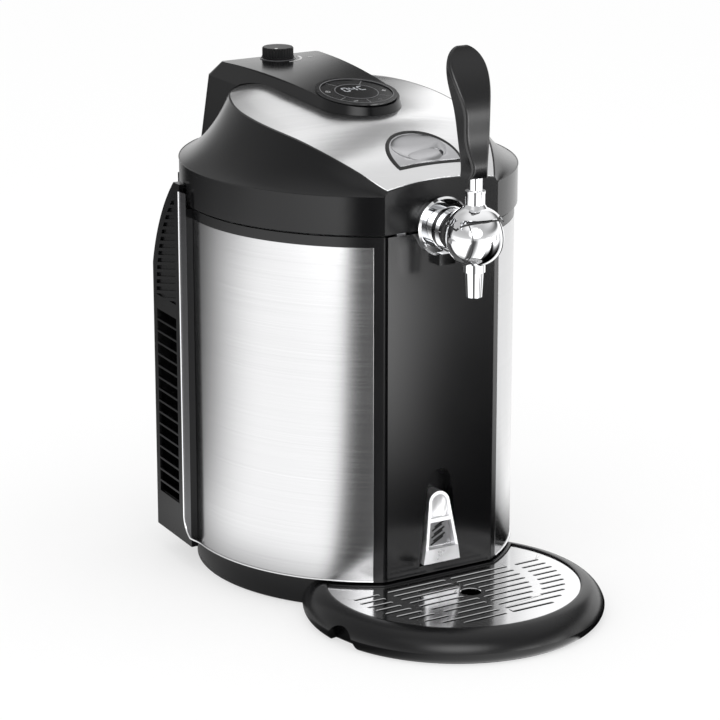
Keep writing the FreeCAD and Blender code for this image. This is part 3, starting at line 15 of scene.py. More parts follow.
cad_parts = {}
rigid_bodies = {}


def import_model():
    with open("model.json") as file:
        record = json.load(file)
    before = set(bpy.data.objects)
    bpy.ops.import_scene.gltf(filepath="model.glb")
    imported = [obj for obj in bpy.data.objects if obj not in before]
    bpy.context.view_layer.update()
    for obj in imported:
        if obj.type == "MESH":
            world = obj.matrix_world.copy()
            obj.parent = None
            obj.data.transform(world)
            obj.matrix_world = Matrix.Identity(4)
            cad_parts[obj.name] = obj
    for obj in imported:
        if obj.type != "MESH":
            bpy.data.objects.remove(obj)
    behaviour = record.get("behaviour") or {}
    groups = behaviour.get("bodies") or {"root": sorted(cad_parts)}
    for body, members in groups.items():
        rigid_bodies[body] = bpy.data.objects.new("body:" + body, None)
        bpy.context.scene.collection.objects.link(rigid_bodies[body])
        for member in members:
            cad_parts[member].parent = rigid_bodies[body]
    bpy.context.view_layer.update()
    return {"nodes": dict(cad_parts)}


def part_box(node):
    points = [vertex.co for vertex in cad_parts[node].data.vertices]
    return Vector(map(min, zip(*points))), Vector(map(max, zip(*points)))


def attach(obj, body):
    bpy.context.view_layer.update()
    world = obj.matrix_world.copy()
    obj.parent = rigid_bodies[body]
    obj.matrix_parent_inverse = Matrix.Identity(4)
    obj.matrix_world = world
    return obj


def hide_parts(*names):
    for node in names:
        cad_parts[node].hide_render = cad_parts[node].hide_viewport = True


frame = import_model()
MM = 0.001

# %% [markdown]
# ## Small helpers for shader graphs
#
# A finish is one Principled shader. What is the same all over the surface stands on the
# shader's own sockets; what varies comes from noise that reads the object's coordinates, in
# metres, so that a pattern has the same size on every piece. A noise value mostly stays
# between two levels, and those two are stretched onto the range that a socket wants.

# %% Shader helpers
NOISE_LOW, NOISE_HIGH = 0.3, 0.7
finishes = {}


def finish(name, colour, metallic, roughness, **sockets):
    """A new material with one Principled shader, kept by its name; returns both."""
    material = bpy.data.materials.new(name)
    material.use_nodes = True
    shader = material.node_tree.nodes["Principled BSDF"]
    shader.inputs["Base Color"].default_value = (*colour, 1)
    shader.inputs["Metallic"].default_value = metallic
    shader.inputs["Roughness"].default_value = roughness
    for socket, number in sockets.items():
        shader.inputs[socket.replace("_", " ")].default_value = number
    material.diffuse_color = (*colour, 1)
    finishes[name] = material
    return material, shader


def noise(material, stretch, detail=2.0, turn=0.0):
    """Noise over the object's coordinates, stretched by three factors and turned about Z."""
    nodes, links = material.node_tree.nodes, material.node_tree.links
    place = nodes.new("ShaderNodeTexCoord")
    mapping = nodes.new("ShaderNodeMapping")
    mapping.inputs["Scale"].default_value = stretch
    turned = nodes.new("ShaderNodeMapping")
    turned.inputs["Rotation"].default_value = (0, 0, turn)
    grain = nodes.new("ShaderNodeTexNoise")
    grain.inputs["Scale"].default_value = 1.0
    grain.inputs["Detail"].default_value = detail
    links.new(place.outputs["Object"], turned.inputs["Vector"])
    links.new(turned.outputs["Vector"], mapping.inputs["Vector"])
    links.new(mapping.outputs["Vector"], grain.inputs["Vector"])
    return grain.outputs["Fac"]


def spread(material, source, low, high):
    """Stretches a noise value onto a range."""
    node = material.node_tree.nodes.new("ShaderNodeMapRange")
    node.inputs["From Min"].default_value = NOISE_LOW
    node.inputs["From Max"].default_value = NOISE_HIGH
    node.inputs["To Min"].default_value = low
    node.inputs["To Max"].default_value = high
    material.node_tree.links.new(source, node.inputs["Value"])
    return node.outputs["Result"]


def grey_ramp(material, source, dark, light):
    """A grey between two levels, picked by a noise value."""
    ramp = material.node_tree.nodes.new("ShaderNodeValToRGB")
    ramp.color_ramp.elements[0].position = NOISE_LOW
    ramp.color_ramp.elements[0].color = (*dark, 1)
    ramp.color_ramp.elements[1].position = NOISE_HIGH
    ramp.color_ramp.elements[1].color = (*light, 1)
    material.node_tree.links.new(source, ramp.inputs["Fac"])
    return ramp.outputs["Color"]


def bump(material, shader, source, strength, depth):
    """Lets a noise value raise the surface a little."""
    node = material.node_tree.nodes.new("ShaderNodeBump")
    node.inputs["Strength"].default_value = strength
    node.inputs["Distance"].default_value = depth
    material.node_tree.links.new(source, node.inputs["Height"])
    material.node_tree.links.new(node.outputs["Normal"], shader.inputs["Normal"])


def wire(material, source, shader, socket):
    """Joins an output to a socket of the shader."""
    material.node_tree.links.new(source, shader.inputs[socket])


# %% [markdown]
# ## Moulded plastics
#
# Most of the shell is black plastic from a mould with a fine spark-eroded skin. The skin is
# a very fine noise used as a shallow bump, and a slow noise makes the gloss uneven, as a
# surface that hands and cloths have touched.

# %% Moulded plastics


def moulded(name, colour, roughness, grain=0.2, **sockets):
    """Plastic, rubber or foam with a fine moulded skin."""
    material, shader = finish(name, colour, 0.0, roughness, **sockets)
    wire(material, spread(material, noise(material, (14, 14, 14)), roughness * 0.9, roughness * 1.1),
         shader, "Roughness")
    bump(material, shader, noise(material, (1900, 1900, 1900), 1.0), grain, 0.00002)
    return material


moulded("black_satin", (0.004, 0.004, 0.0045), 0.25, Specular_IOR_Level=0.34)
moulded("lid_black", (0.004, 0.004, 0.0045), 0.2, 0.1, Specular_IOR_Level=0.3)
moulded("handle_black", (0.005, 0.005, 0.0055), 0.24, 0.15, Specular_IOR_Level=0.52)
moulded("knob_black", (0.005, 0.005, 0.0055), 0.42, 0.3, Specular_IOR_Level=0.22)
moulded("rubber_black", (0.012, 0.012, 0.012), 0.62, 0.3)
moulded("rubber_grey", (0.16, 0.16, 0.165), 0.6, 0.3)
moulded("grey_plastic", (0.27, 0.275, 0.28), 0.45, 0.15)
moulded("foam_white", (0.82, 0.82, 0.80), 0.9, 0.6)
moulded("ceramic_white", (0.78, 0.78, 0.76), 0.5, 0.1)
moulded("board_green", (0.02, 0.12, 0.05), 0.35, 0.2)
print("plastics:", ", ".join(finishes))

# %% [markdown]
# ## Gloss and glass
#
# The dial is high-gloss black: a clear coat gives the sharp mirror on top, and under it the
# black stays deep. The display's cover is the same, smoother still. The front panel has no
# coat; it mirrors more strongly by itself and a little softer.

# %% Gloss black and display glass


def glossy(name, colour, roughness, clouds, low, high, **sockets):
    """Smooth black whose gloss drifts between two levels."""
    material, shader = finish(name, colour, 0.0, roughness, **sockets)
    wire(material, spread(material, noise(material, (clouds, clouds, clouds)), low, high),
         shader, "Roughness")
    return material


glossy("gloss_black", (0.005, 0.005, 0.0055), 0.16, 9, 0.13, 0.2,
       Specular_IOR_Level=0.5, Coat_Weight=0.6, Coat_Roughness=0.06)
glossy("display_glass", (0.004, 0.004, 0.0045), 0.07, 40, 0.05, 0.1,
       Specular_IOR_Level=0.5, Coat_Weight=1.0, Coat_Roughness=0.02)
glossy("front_gloss", (0.003, 0.003, 0.0035), 0.15, 7, 0.14, 0.17, Specular_IOR_Level=0.85)
print("gloss:", ", ".join(list(finishes)[-3:]))

# %% [markdown]
# ## Metals
#
# Brushed steel is drawn past a belt, so its scratches are long in one direction and very
# fine across it. The same stretched noise changes the colour, the gloss and the height a
# little. The side skins are brushed round the body, the sloping lid plate on the slant, and
# the drip plate from side to side, so lightly that it stays almost a mirror. Polished metal
# has only faint wiping marks, and they change nothing but its gloss.

# %% Brushed and polished metals
WIPED = 0.35


def brushed(name, colour, roughness, stretch, turn=0.0, uneven=0.12, depth=0.000006):
    """Metal with long fine scratches along one direction."""
    material, shader = finish(name, colour, 1.0, roughness)
    scratches = noise(material, stretch, 4.0, turn)
    clouds = noise(material, (stretch[0] * 0.6, stretch[1] * 0.6, stretch[2] * 0.1), 3.0, turn)
    dark = tuple(channel * (1 - uneven) for channel in colour)
    light = tuple(min(1, channel * (1 + uneven)) for channel in colour)
    wire(material, grey_ramp(material, scratches, dark, light), shader, "Base Color")
    wire(material, spread(material, clouds, roughness * 0.92, roughness * 1.1), shader, "Roughness")
    bump(material, shader, scratches, 0.35, depth)
    return material


def polished(name, colour, roughness):
    """Bright metal whose gloss is broken only by faint wiping marks."""
    material, shader = finish(name, colour, 1.0, roughness)
    wipes = noise(material, (60, 60, 60), 5.0)
    wire(material, spread(material, wipes, roughness * (1 - WIPED), roughness * (1 + WIPED)),
         shader, "Roughness")
    return material


brushed("brushed_panel", (0.51, 0.51, 0.515), 0.2, (6, 6, 7000), uneven=0.06)
brushed("polished_plate", (0.66, 0.66, 0.665), 0.13, (10, 2600, 10), uneven=0.05, depth=0.000003)
brushed("lid_plate_steel", (0.66, 0.66, 0.665), 0.2, (8, 4200, 8), turn=math.radians(14), uneven=0.07)
polished("chrome_bright", (0.86, 0.865, 0.875), 0.045)
opener_steel = polished("opener_steel", (0.88, 0.88, 0.89), 0.42)
polished("button_silver", (0.40, 0.40, 0.41), 0.19)
polished("steel_screw", (0.45, 0.45, 0.46), 0.3)
brushed("liner_aluminium", (0.70, 0.71, 0.72), 0.32, (8, 8, 900))
brushed("sink_aluminium", (0.62, 0.63, 0.64), 0.38, (700, 30, 30))
polished("brass_body", (0.55, 0.40, 0.17), 0.25)
print(len(finishes), "finishes, the last", list(finishes)[-1])

# %% [markdown]
# ## Every node takes its slot's finish
#
# The record names a material slot for each node. The loop gives each mesh the finish of the
# same name, so no node is left with the plain colour it was packed with. Four nodes have a
# finish of their own instead.

# %% Finishes onto the nodes
NODE_FINISH = {"top_plate": "lid_plate_steel", "front_panel": "front_gloss",
               "bottle_opener": "opener_steel", "regulator_knob": "knob_black"}
for node_name, node in frame["nodes"].items():
    slot_name = node.data.materials[0].name.split(".")[0] if node.data.materials else "black_satin"
    material = finishes.get(NODE_FINISH.get(node_name, slot_name), finishes["black_satin"])
    node.data.materials.clear()
    node.data.materials.append(material)
print("dressed", len(frame["nodes"]), "nodes")

# %% [markdown]
# ## Helpers for new pieces
#
# New pieces start as primitives or as a welded copy of a node. Everything is deselected
# first, because the imported nodes are still selected and an operator acts on all that is.
# When a piece is done, its place is applied to its mesh, it gets its finish, and it rides the
# body it is fixed to.

# %% Piece helpers
SIDES = ((-1, "left"), (1, "right"))
WELD = 0.003 * MM


def alone(piece=None):
    """Deselects everything, then selects and activates one object, if one is given."""
    if bpy.context.object and bpy.context.object.mode != "OBJECT":
        bpy.ops.object.mode_set(mode="OBJECT")
    bpy.ops.object.select_all(action="DESELECT")
    if piece:
        piece.select_set(True)
        bpy.context.view_layer.objects.active = piece


def pick(piece, kind, wanted):
    """Selects only the edges or faces that pass a test, and stays in edit mode."""
    bpy.ops.object.mode_set(mode="EDIT")
    bpy.ops.mesh.select_mode(type=kind)
    bpy.ops.mesh.select_all(action="DESELECT")
    bpy.ops.object.mode_set(mode="OBJECT")
    for part in piece.data.edges if kind == "EDGE" else piece.data.polygons:
        part.select = wanted(part)
    bpy.ops.object.mode_set(mode="EDIT")


def edge_ends(piece, edge):
    """The two end points of an edge."""
    return [piece.data.vertices[i].co for i in edge.vertices]


def block(x, wide, front, back, low, high):
    """A plain block about a middle x, between two depths and two heights."""
    alone()
    bpy.ops.mesh.primitive_cube_add(size=1, location=(x, (front + back) / 2, (low + high) / 2))
    piece = bpy.context.object
    piece.scale = (wide, back - front, high - low)
    bpy.ops.object.transform_apply(location=True, rotation=False, scale=True)
    return piece


def trimmed(piece, place, direction):
    """Cuts a piece with a plane and keeps the side that the direction points to."""
    alone(piece)
    bpy.ops.object.mode_set(mode="EDIT")
    bpy.ops.mesh.select_all(action="SELECT")
    bpy.ops.mesh.bisect(plane_co=place, plane_no=direction, clear_inner=True, use_fill=True)
    bpy.ops.object.mode_set(mode="OBJECT")


def carved(piece, *cutters):
    """Takes other pieces out of a piece and throws them away."""
    for cutter in cutters:
        alone(piece)
        cutting = piece.modifiers.new("cutting", "BOOLEAN")
        cutting.operation = "DIFFERENCE"
        cutting.solver = "EXACT"
        cutting.object = cutter
        bpy.ops.object.modifier_apply(modifier="cutting")
        bpy.data.objects.remove(cutter)


def done(name, piece, material, body, smooth=35):
    """Finishes a piece: place into the mesh, name, finish, shading, body and slot."""
    alone(piece)
    bpy.ops.object.transform_apply(location=True, rotation=True, scale=True)
    piece.name = name
    piece.data.name = name
    piece.data.materials.clear()
    piece.data.materials.append(material)
    bpy.ops.object.shade_smooth_by_angle(angle=math.radians(smooth))
    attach(piece, body)
    print(name, "-", len(piece.data.polygons), "faces on", body)


def welded(node_name):
    """A copy of a node's mesh with its loose triangles welded together."""
    source = frame["nodes"][node_name]
    alone(source)
    bpy.ops.object.duplicate()
    copy = bpy.context.object
    bpy.ops.object.parent_clear(type="CLEAR_KEEP_TRANSFORM")
    bpy.ops.mesh.customdata_custom_splitnormals_clear()
    bpy.ops.object.mode_set(mode="EDIT")
    bpy.ops.mesh.select_all(action="SELECT")
    bpy.ops.mesh.remove_doubles(threshold=WELD)
    bpy.ops.object.mode_set(mode="OBJECT")
    return copy


def bead(name, points, radius, material, body, closed=False):
    """A thin round bead that follows a line of points."""
    alone()
    bpy.ops.curve.primitive_nurbs_path_add()
    piece = bpy.context.object
    curve = piece.data
    curve.splines.clear()
    line = curve.splines.new("POLY")
    line.points.add(len(points) - 1)
    for spot, point in zip(line.points, points):
        spot.co = (*point, 1)
    line.use_cyclic_u = closed
    curve.dimensions = "3D"
    curve.bevel_depth = radius
    curve.bevel_resolution = 2
    curve.use_fill_caps = not closed
    bpy.ops.object.convert(target="MESH")
    done(name, bpy.context.object, material, body, 60)


# %% [markdown]
# ## The body's outline
#
# Seen from above the body is a lens: two large side arcs, cut off flat in front and behind.
# The trims follow it, so its half width is worked out once from the same sizes as the solid.

# %% The body's outline
ARC_RADIUS, HALF_WIDTH = 161.7 * MM, 136 * MM
BODY_INSET = 2.5 * MM
PANEL_FRONT = 134.6 * MM


def half_width(y, inset=0.0):
    """Half the body's width at a depth."""
    radius = ARC_RADIUS - inset
    return HALF_WIDTH - ARC_RADIUS + math.sqrt(radius ** 2 - y ** 2)


low_corner, high_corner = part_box("side_panel_left")
print("left skin from", [round(v, 4) for v in low_corner], "to", [round(v, 4) for v in high_corner])

# %% [markdown]
# ## Bright hem of the side skins
#
# A narrow polished hem runs down the front edge of each air duct, turns a wide round corner
# and goes on along the lower edge of the steel skin. It is a bead on a line of points: the
# upright, a quarter turn worked out on the unrolled side, and the lower edge. In front of
# the duct the line bends inward until it lies on the skin.

# %% Side hems
HEM_X, HEM_Y = 137.9 * MM, 39.3 * MM
HEM_TOP, HEM_LOW = 326 * MM, 26.8 * MM
HEM_TURN = 21 * MM
DUCT_FRONT, BEND_END = 28 * MM, 18 * MM
HEM_RISE = 0.3 * MM
HEM_RADIUS = 0.85 * MM
UPRIGHT_STEPS, TURN_STEPS, LOWER_STEPS = 6, 12, 20
hem_steel = polished("hem_steel", (0.80, 0.80, 0.81), 0.12)


def hem_height(y):
    """The height of the hem's round corner at a depth."""
    reach = HEM_TURN - (HEM_Y - y)
    return HEM_LOW + HEM_TURN - math.sqrt(max(HEM_TURN ** 2 - reach ** 2, 0))


def on_skin(y):
    """How far out the hem lies on the steel skin at a depth."""
    return half_width(y, BODY_INSET) + HEM_RISE


def on_duct(y):
    """How far out the hem lies at a depth beside the duct, where it bends toward the skin."""
    if y > DUCT_FRONT:
        return HEM_X
    return on_skin(y) + (HEM_X - on_skin(y)) * ((y - BEND_END) / (DUCT_FRONT - BEND_END)) ** 2


def hem_line(side):
    """Points of one hem, from the top of the duct to the front corner of the skin."""
    points = []
    for i in range(UPRIGHT_STEPS + 1):
        height = HEM_TOP - i * (HEM_TOP - (HEM_LOW + HEM_TURN)) / UPRIGHT_STEPS
        points.append(Vector((side * HEM_X, HEM_Y, height)))
    for i in range(1, TURN_STEPS + 1):
        angle = math.radians(90 * i / TURN_STEPS)
        y = HEM_Y - HEM_TURN * (1 - math.cos(angle))
        points.append(Vector((side * on_duct(y), y, hem_height(y))))
    start = points[-1].y
    for i in range(1, LOWER_STEPS + 1):
        y = start - i * (start + PANEL_FRONT) / LOWER_STEPS
        points.append(Vector((side * on_skin(y), y, HEM_LOW)))
    return points


for side, side_name in SIDES:
    bead("side_hem_" + side_name, hem_line(side), HEM_RADIUS, hem_steel, "housing")

# %% [markdown]
# ## Steel wrap behind the side skins
#
# Between the skin and the hem the steel wraps onto the duct's shoulder. The wrap is a thin
# upright block. Its lower rear corner is rounded to lie inside the hem's own turn, and what
# stands in front of the duct is cut off. Its steel is coloured almost black: painted shade
# that stands in for the dark reflection beside the duct.

# %% Side wraps
# painted shade: the wrap's steel is coloured almost black to stand in for the dark reflection beside the
# duct
wrap_steel = brushed("wrap_steel", (0.13, 0.13, 0.135), 0.2, (5, 5, 5200), uneven=0.06)
WRAP_X, WRAP_THICK = 137.45 * MM, 0.3 * MM
WRAP_FRONT, WRAP_TURN = HEM_Y - HEM_TURN, HEM_TURN * 0.98


def low_rear(piece, edge):
    """Whether an edge is the short one across the wrap at its lower rear corner."""
    return all(end.y > HEM_Y - MM and end.z < HEM_LOW + MM for end in edge_ends(piece, edge))


for side, side_name in SIDES:
    wrap = block(side * (WRAP_X + WRAP_THICK / 2), WRAP_THICK, WRAP_FRONT, HEM_Y, HEM_LOW, HEM_TOP)
    pick(wrap, "EDGE", lambda edge: low_rear(wrap, edge))
    bpy.ops.mesh.bevel(offset=WRAP_TURN, segments=12, affect="EDGES")
    trimmed(wrap, (0, DUCT_FRONT, 0), (0, 1, 0))
    done("side_wrap_" + side_name, wrap, wrap_steel, "housing")

# %% [markdown]
# ## Grilles with thin slats
#
# The lower field of each side grille is punched so wide that only thin slats stand between
# the openings. A welded copy of the grille gets each of its openings widened upward and
# downward by a row of blocks, one block copied along the height. The duct's wall behind that
# field is opened as well, so that one looks into the hollow of the duct.

# %% Grilles
VENT_SLOTS, VENT_PITCH, VENT_FIRST = 16, 10.1875 * MM, 57.7 * MM
VENT_OPEN, VENT_FRONT, VENT_BACK = 8.5 * MM, 52 * MM, 92 * MM
VENT_X, THROUGH_GRILLE, THROUGH_DUCT = 130 * MM, 60 * MM, 30 * MM
DUCT_LOW, DUCT_HIGH = 54 * MM, 215 * MM
for side, side_name in SIDES:
    grille = welded("side_grille_" + side_name)
    blocks = block(side * VENT_X, THROUGH_GRILLE, VENT_FRONT, VENT_BACK,
                   VENT_FIRST - VENT_OPEN / 2, VENT_FIRST + VENT_OPEN / 2)
    row = blocks.modifiers.new("row", "ARRAY")
    row.count = VENT_SLOTS
    row.use_relative_offset = False
    row.use_constant_offset = True
    row.constant_offset_displace = (0, 0, VENT_PITCH)
    bpy.ops.object.modifier_apply(modifier="row")
    carved(grille, blocks)
    done("side_grille_open_" + side_name, grille, finishes["black_satin"], "housing", 30)
    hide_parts("side_grille_" + side_name)
    duct = welded("side_duct_" + side_name)
    carved(duct, block(side * VENT_X, THROUGH_DUCT, VENT_FRONT, VENT_BACK, DUCT_LOW, DUCT_HIGH))
    done("side_duct_open_" + side_name, duct, finishes["black_satin"], "housing", 30)
    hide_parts("side_duct_" + side_name)

# %% [markdown]
# ## Edge line of the lid
#
# Where the upright ring of the lid meets the hollow flare, the mould leaves a fine raised
# line that catches the light.

# %% Edge line of the lid
RING_TOP = 346 * MM
FRONT_REACH, BACK_REACH = 141 * MM, 132 * MM
RING_END, RING_STEPS = 0.2 * MM, 40
EDGE_LINE = 0.45 * MM


def ring_line(side):
    """Points along the top of the ring, from the front corner to the back corner."""
    span = FRONT_REACH + BACK_REACH - 2 * RING_END
    depths = [-FRONT_REACH + RING_END + i * span / RING_STEPS for i in range(RING_STEPS + 1)]
    return [Vector((side * half_width(y), y, RING_TOP)) for y in depths]


for side, side_name in SIDES:
    bead("lid_edge_" + side_name, ring_line(side), EDGE_LINE, finishes["lid_black"], "lid")

# %% [markdown]
# ## The dial's own frame
#
# The dial lies on the slope of the control pod. Its marks are modelled flat at the origin
# and are then moved onto the slope by one matrix, so that each can be drawn in plain
# millimetres from the dial's centre. They are made of two shapes, a low ring and a low bar.

# %% The dial's frame
DIAL_CENTRE = Vector((0, -14 * MM, 402.7 * MM))
DIAL_TILT = math.radians(8.6)
ON_DIAL = Matrix.Translation(DIAL_CENTRE) @ Matrix.Rotation(DIAL_TILT, 4, "X")
KEY_TOP = 0.4 * MM
line_grey = moulded("dial_line", (0.10, 0.10, 0.105), 0.35, 0.05)
print_grey = moulded("print_grey", (0.36, 0.36, 0.365), 0.5, 0.05)
print_white = moulded("print_white", (0.74, 0.74, 0.74), 0.5, 0.05)


def onto_dial(piece, turn=0.0):
    """Turns a flat piece about the dial's centre and lays it on the slope."""
    alone(piece)
    piece.matrix_world = ON_DIAL @ Matrix.Rotation(turn, 4, "Z") @ piece.matrix_world
    return piece


def flat_ring(radius, width, height, rise):
    """A low ring: a short tube whose wall is drawn in from a cylinder without caps."""
    alone()
    bpy.ops.mesh.primitive_cylinder_add(vertices=96, radius=radius, depth=height, end_fill_type="NOTHING",
                                        location=(0, 0, rise))
    piece = bpy.context.object
    wall = piece.modifiers.new("wall", "SOLIDIFY")
    wall.thickness = width
    wall.offset = -1
    bpy.ops.object.modifier_apply(modifier="wall")
    return piece


def flat_bar(length, width, height, x, y, rise):
    """A low bar with softened edges."""
    alone()
    bpy.ops.mesh.primitive_cube_add(size=1, location=(x, y, rise))
    piece = bpy.context.object
    piece.scale = (length, width, height)
    bpy.ops.object.transform_apply(location=False, rotation=False, scale=True)
    edge = piece.modifiers.new("edge", "BEVEL")
    edge.width = min(height, width) * 0.2
    edge.segments = 2
    bpy.ops.object.modifier_apply(modifier="edge")
    return piece


def joined(*parts):
    """Several pieces made one."""
    alone(parts[0])
    for part in parts[1:]:
        part.select_set(True)
    bpy.ops.object.join()
    return bpy.context.object


# %% [markdown]
# ## Lines of the dial
#
# A grey line rings the dial and another rings the display; short bars stand between the
# keys. They are fixed to the lid with the bezel, so they stay still when a key is pressed.

# %% Rings and key lines
KEY_EDGES = (117, 210, 264, 318, 51)
KEY_LENGTH, KEY_MIDDLE = 11.0 * MM, 24.2 * MM
OUTER_LINE, INNER_LINE, LINE_WIDE = 30.6 * MM, 18.25 * MM, 0.7 * MM
outer_line = flat_ring(OUTER_LINE, LINE_WIDE, 0.5 * MM, 1.25 * MM)
done("dial_outer_line", onto_dial(outer_line), line_grey, "lid")
inner_line = flat_ring(INNER_LINE, LINE_WIDE, 0.4 * MM, KEY_TOP + 0.25 * MM)
done("dial_inner_line", onto_dial(inner_line), line_grey, "lid")
for index, degrees in enumerate(KEY_EDGES, 1):
    bar = flat_bar(KEY_LENGTH, 0.75 * MM, 0.5 * MM, KEY_MIDDLE, 0, KEY_TOP - 0.1 * MM)
    done(f"key_line_{index}", onto_dial(bar, math.radians(degrees)), line_grey, "lid")

# %% [markdown]
# ## Signs on the keys
#
# Each key carries a plain sign: less, more, on and off, and a small ring for the mode. Each
# sign rides its own key, so it sinks with it.

# %% Signs on the keys
SIGN_RISE, SIGN_LIFT = KEY_TOP + 0.08 * MM, 0.16 * MM
STROKE_LONG, STROKE_WIDE = 4.2 * MM, 1.0 * MM


def sign_place(degrees):
    """Where a key's sign stands on the dial."""
    turn = math.radians(degrees)
    return KEY_MIDDLE * math.cos(turn), KEY_MIDDLE * math.sin(turn)


minus_x, minus_y = sign_place(237)
minus = flat_bar(STROKE_LONG, STROKE_WIDE, SIGN_LIFT, minus_x, minus_y, SIGN_RISE)
done("sign_minus", onto_dial(minus), print_grey, "minus_key")
plus_x, plus_y = sign_place(350)
plus_flat = flat_bar(STROKE_LONG, STROKE_WIDE, SIGN_LIFT, plus_x, plus_y, SIGN_RISE)
plus_tall = flat_bar(STROKE_WIDE, STROKE_LONG, SIGN_LIFT, plus_x, plus_y, SIGN_RISE)
done("sign_plus", onto_dial(joined(plus_flat, plus_tall)), print_grey, "plus_key")
mode_x, mode_y = sign_place(291)
mode_ring = flat_ring(1.6 * MM, 0.5 * MM, SIGN_LIFT, SIGN_RISE)
mode_ring.location += Vector((mode_x, mode_y, 0))
done("sign_mode", onto_dial(mode_ring), line_grey, "mode_key")
power_x, power_y = sign_place(163)
power_ring = flat_ring(2.1 * MM, 0.55 * MM, SIGN_LIFT, SIGN_RISE)
power_ring.location += Vector((power_x, power_y, 0))
power_bar = flat_bar(0.6 * MM, 2.6 * MM, SIGN_LIFT, power_x, power_y + 1.6 * MM, SIGN_RISE)
done("sign_power", onto_dial(joined(power_ring, power_bar)), print_grey, "power_key")

# %% [markdown]
# ## Numbers of the display
#
# The display shows a temperature in bars of light behind dark glass. Each digit is built
# from the seven bars of a number display; the bars glow softly.

# %% Numbers of the display
glow, glow_shader = finish("display_glow", (0.13, 0.13, 0.14), 0.0, 0.4)
glow_shader.inputs["Emission Color"].default_value = (0.75, 0.78, 0.82, 1)
glow_shader.inputs["Emission Strength"].default_value = 0.34
wire(glow, grey_ramp(glow, noise(glow, (300, 300, 300)), (0.10, 0.10, 0.11), (0.16, 0.16, 0.17)),
     glow_shader, "Base Color")
LENS_TOP = KEY_TOP + 0.2 * MM
BAR_RISE = LENS_TOP + 0.07 * MM
DIGIT_WIDE, DIGIT_TALL, BAR = 4.6 * MM, 8.4 * MM, 1.2 * MM
DIGIT_RISE, DIGIT_THICK = 6.5 * MM, 0.12 * MM
BARS = {"top": (0, 1, 0), "middle": (0, 0, 0), "bottom": (0, -1, 0), "upper_left": (-1, 0.5, 1),
        "upper_right": (1, 0.5, 1), "lower_left": (-1, -0.5, 1), "lower_right": (1, -0.5, 1)}
LIT = {"0": ("top", "bottom", "upper_left", "upper_right", "lower_left", "lower_right"),
       "4": ("middle", "upper_left", "upper_right", "lower_right"),
       "C": ("top", "bottom", "upper_left", "lower_left")}


def digit(sign, x):
    """One number made of its lit bars."""
    bars = []
    for name in LIT[sign]:
        across, up, upright = BARS[name]
        length = DIGIT_TALL / 2 - BAR if upright else DIGIT_WIDE - BAR * 0.6
        size = (BAR, length) if upright else (length, BAR)
        bars.append(flat_bar(*size, DIGIT_THICK, x + across * DIGIT_WIDE / 2,
                             DIGIT_RISE + up * DIGIT_TALL / 2, BAR_RISE))
    return joined(*bars)


digits = joined(digit("0", -6.4 * MM), digit("4", 0.6 * MM), digit("C", 8.4 * MM))
done("display_numbers", onto_dial(digits), glow, "lid")

# %% [markdown]
# ## Marks of the gas knob
#
# Beside the knob a curved wedge is printed, thin at one end and thick at the other, to show
# which way the pressure rises. It is a quarter of the crescent that is left when one disc is
# carved out of another. A short tick stands at its side, and the knob has one white dot.

# %% Marks of the gas knob
KNOB_CENTRE = Vector((0, 112 * MM, 0))
POD_HIGH, POD_HIGH_Y, POD_ARC = 411.6 * MM, 105 * MM, 793 * MM
SCALE_OUTER, SCALE_INNER, SCALE_SHIFT = 19.75 * MM, 18.3 * MM, 0.95 * MM
PRINT_RISE = 0.1 * MM
TICK_X, TICK_BACK = 26.5 * MM, 9 * MM
DOT_X, DOT_BACK, DOT_RADIUS, DOT_FLATTENED = -6.4 * MM, 8 * MM, 1.5 * MM, 0.16
BASE_RING = 15.2 * MM


def pod_top(y):
    """The height of the pod's long curved top."""
    return POD_HIGH - POD_ARC + math.sqrt(POD_ARC ** 2 - (y - POD_HIGH_Y) ** 2)


def knob_disc(radius, shift_x, shift_y, height):
    """A disc that lies on the pod, shifted a little from the knob's centre."""
    alone()
    rise = pod_top(KNOB_CENTRE.y - SCALE_INNER) + PRINT_RISE
    bpy.ops.mesh.primitive_cylinder_add(vertices=128, radius=radius, depth=height,
                                        location=KNOB_CENTRE + Vector((shift_x, shift_y, rise)))
    return bpy.context.object


scale_mark = knob_disc(SCALE_OUTER, SCALE_SHIFT, 0, 0.2 * MM)
carved(scale_mark, knob_disc(SCALE_INNER, 0, -SCALE_SHIFT, MM))
bpy.ops.object.transform_apply(location=True, rotation=True, scale=True)
trimmed(scale_mark, KNOB_CENTRE, (1, 0, 0))
trimmed(scale_mark, KNOB_CENTRE, (0, -1, 0))
done("knob_scale", scale_mark, print_white, "lid")
tick_y = KNOB_CENTRE.y - TICK_BACK
tick = flat_bar(4.5 * MM, 1.1 * MM, 0.14 * MM, TICK_X, tick_y, pod_top(tick_y) + PRINT_RISE)
done("knob_scale_tick", tick, print_white, "lid")
knob_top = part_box("regulator_knob")[1][2]
alone()
bpy.ops.mesh.primitive_uv_sphere_add(segments=24, ring_count=12, radius=DOT_RADIUS,
                                     location=(DOT_X, KNOB_CENTRE.y - DOT_BACK, knob_top))
dot = bpy.context.object
dot.scale = (1, 1, DOT_FLATTENED)
done("knob_dot", dot, print_white, "gas_knob")
ring = flat_ring(BASE_RING, 0.9 * MM, 0.5 * MM, 0)
ring.location = (0, KNOB_CENTRE.y, pod_top(KNOB_CENTRE.y) + 0.2 * MM)
done("knob_base_ring", ring, line_grey, "lid")

# %% [markdown]
# ## Latch button with its finger scoop
#
# The button that frees the lid is a silver half moon with a hollow for the fingertip. The
# solid has its outline; here a copy of it is welded, and two flattened balls are carved out
# of it: a wide one for the hollow, and a small one that dents the hollow's floor.

# %% Latch button


def flat_ball(centre, radii, tilt=0.0):
    """A flattened ball to carve with."""
    alone()
    bpy.ops.mesh.primitive_uv_sphere_add(segments=96, ring_count=48, radius=1, location=centre)
    ball = bpy.context.object
    ball.scale = radii
    ball.rotation_euler = (tilt, 0, 0)
    return ball


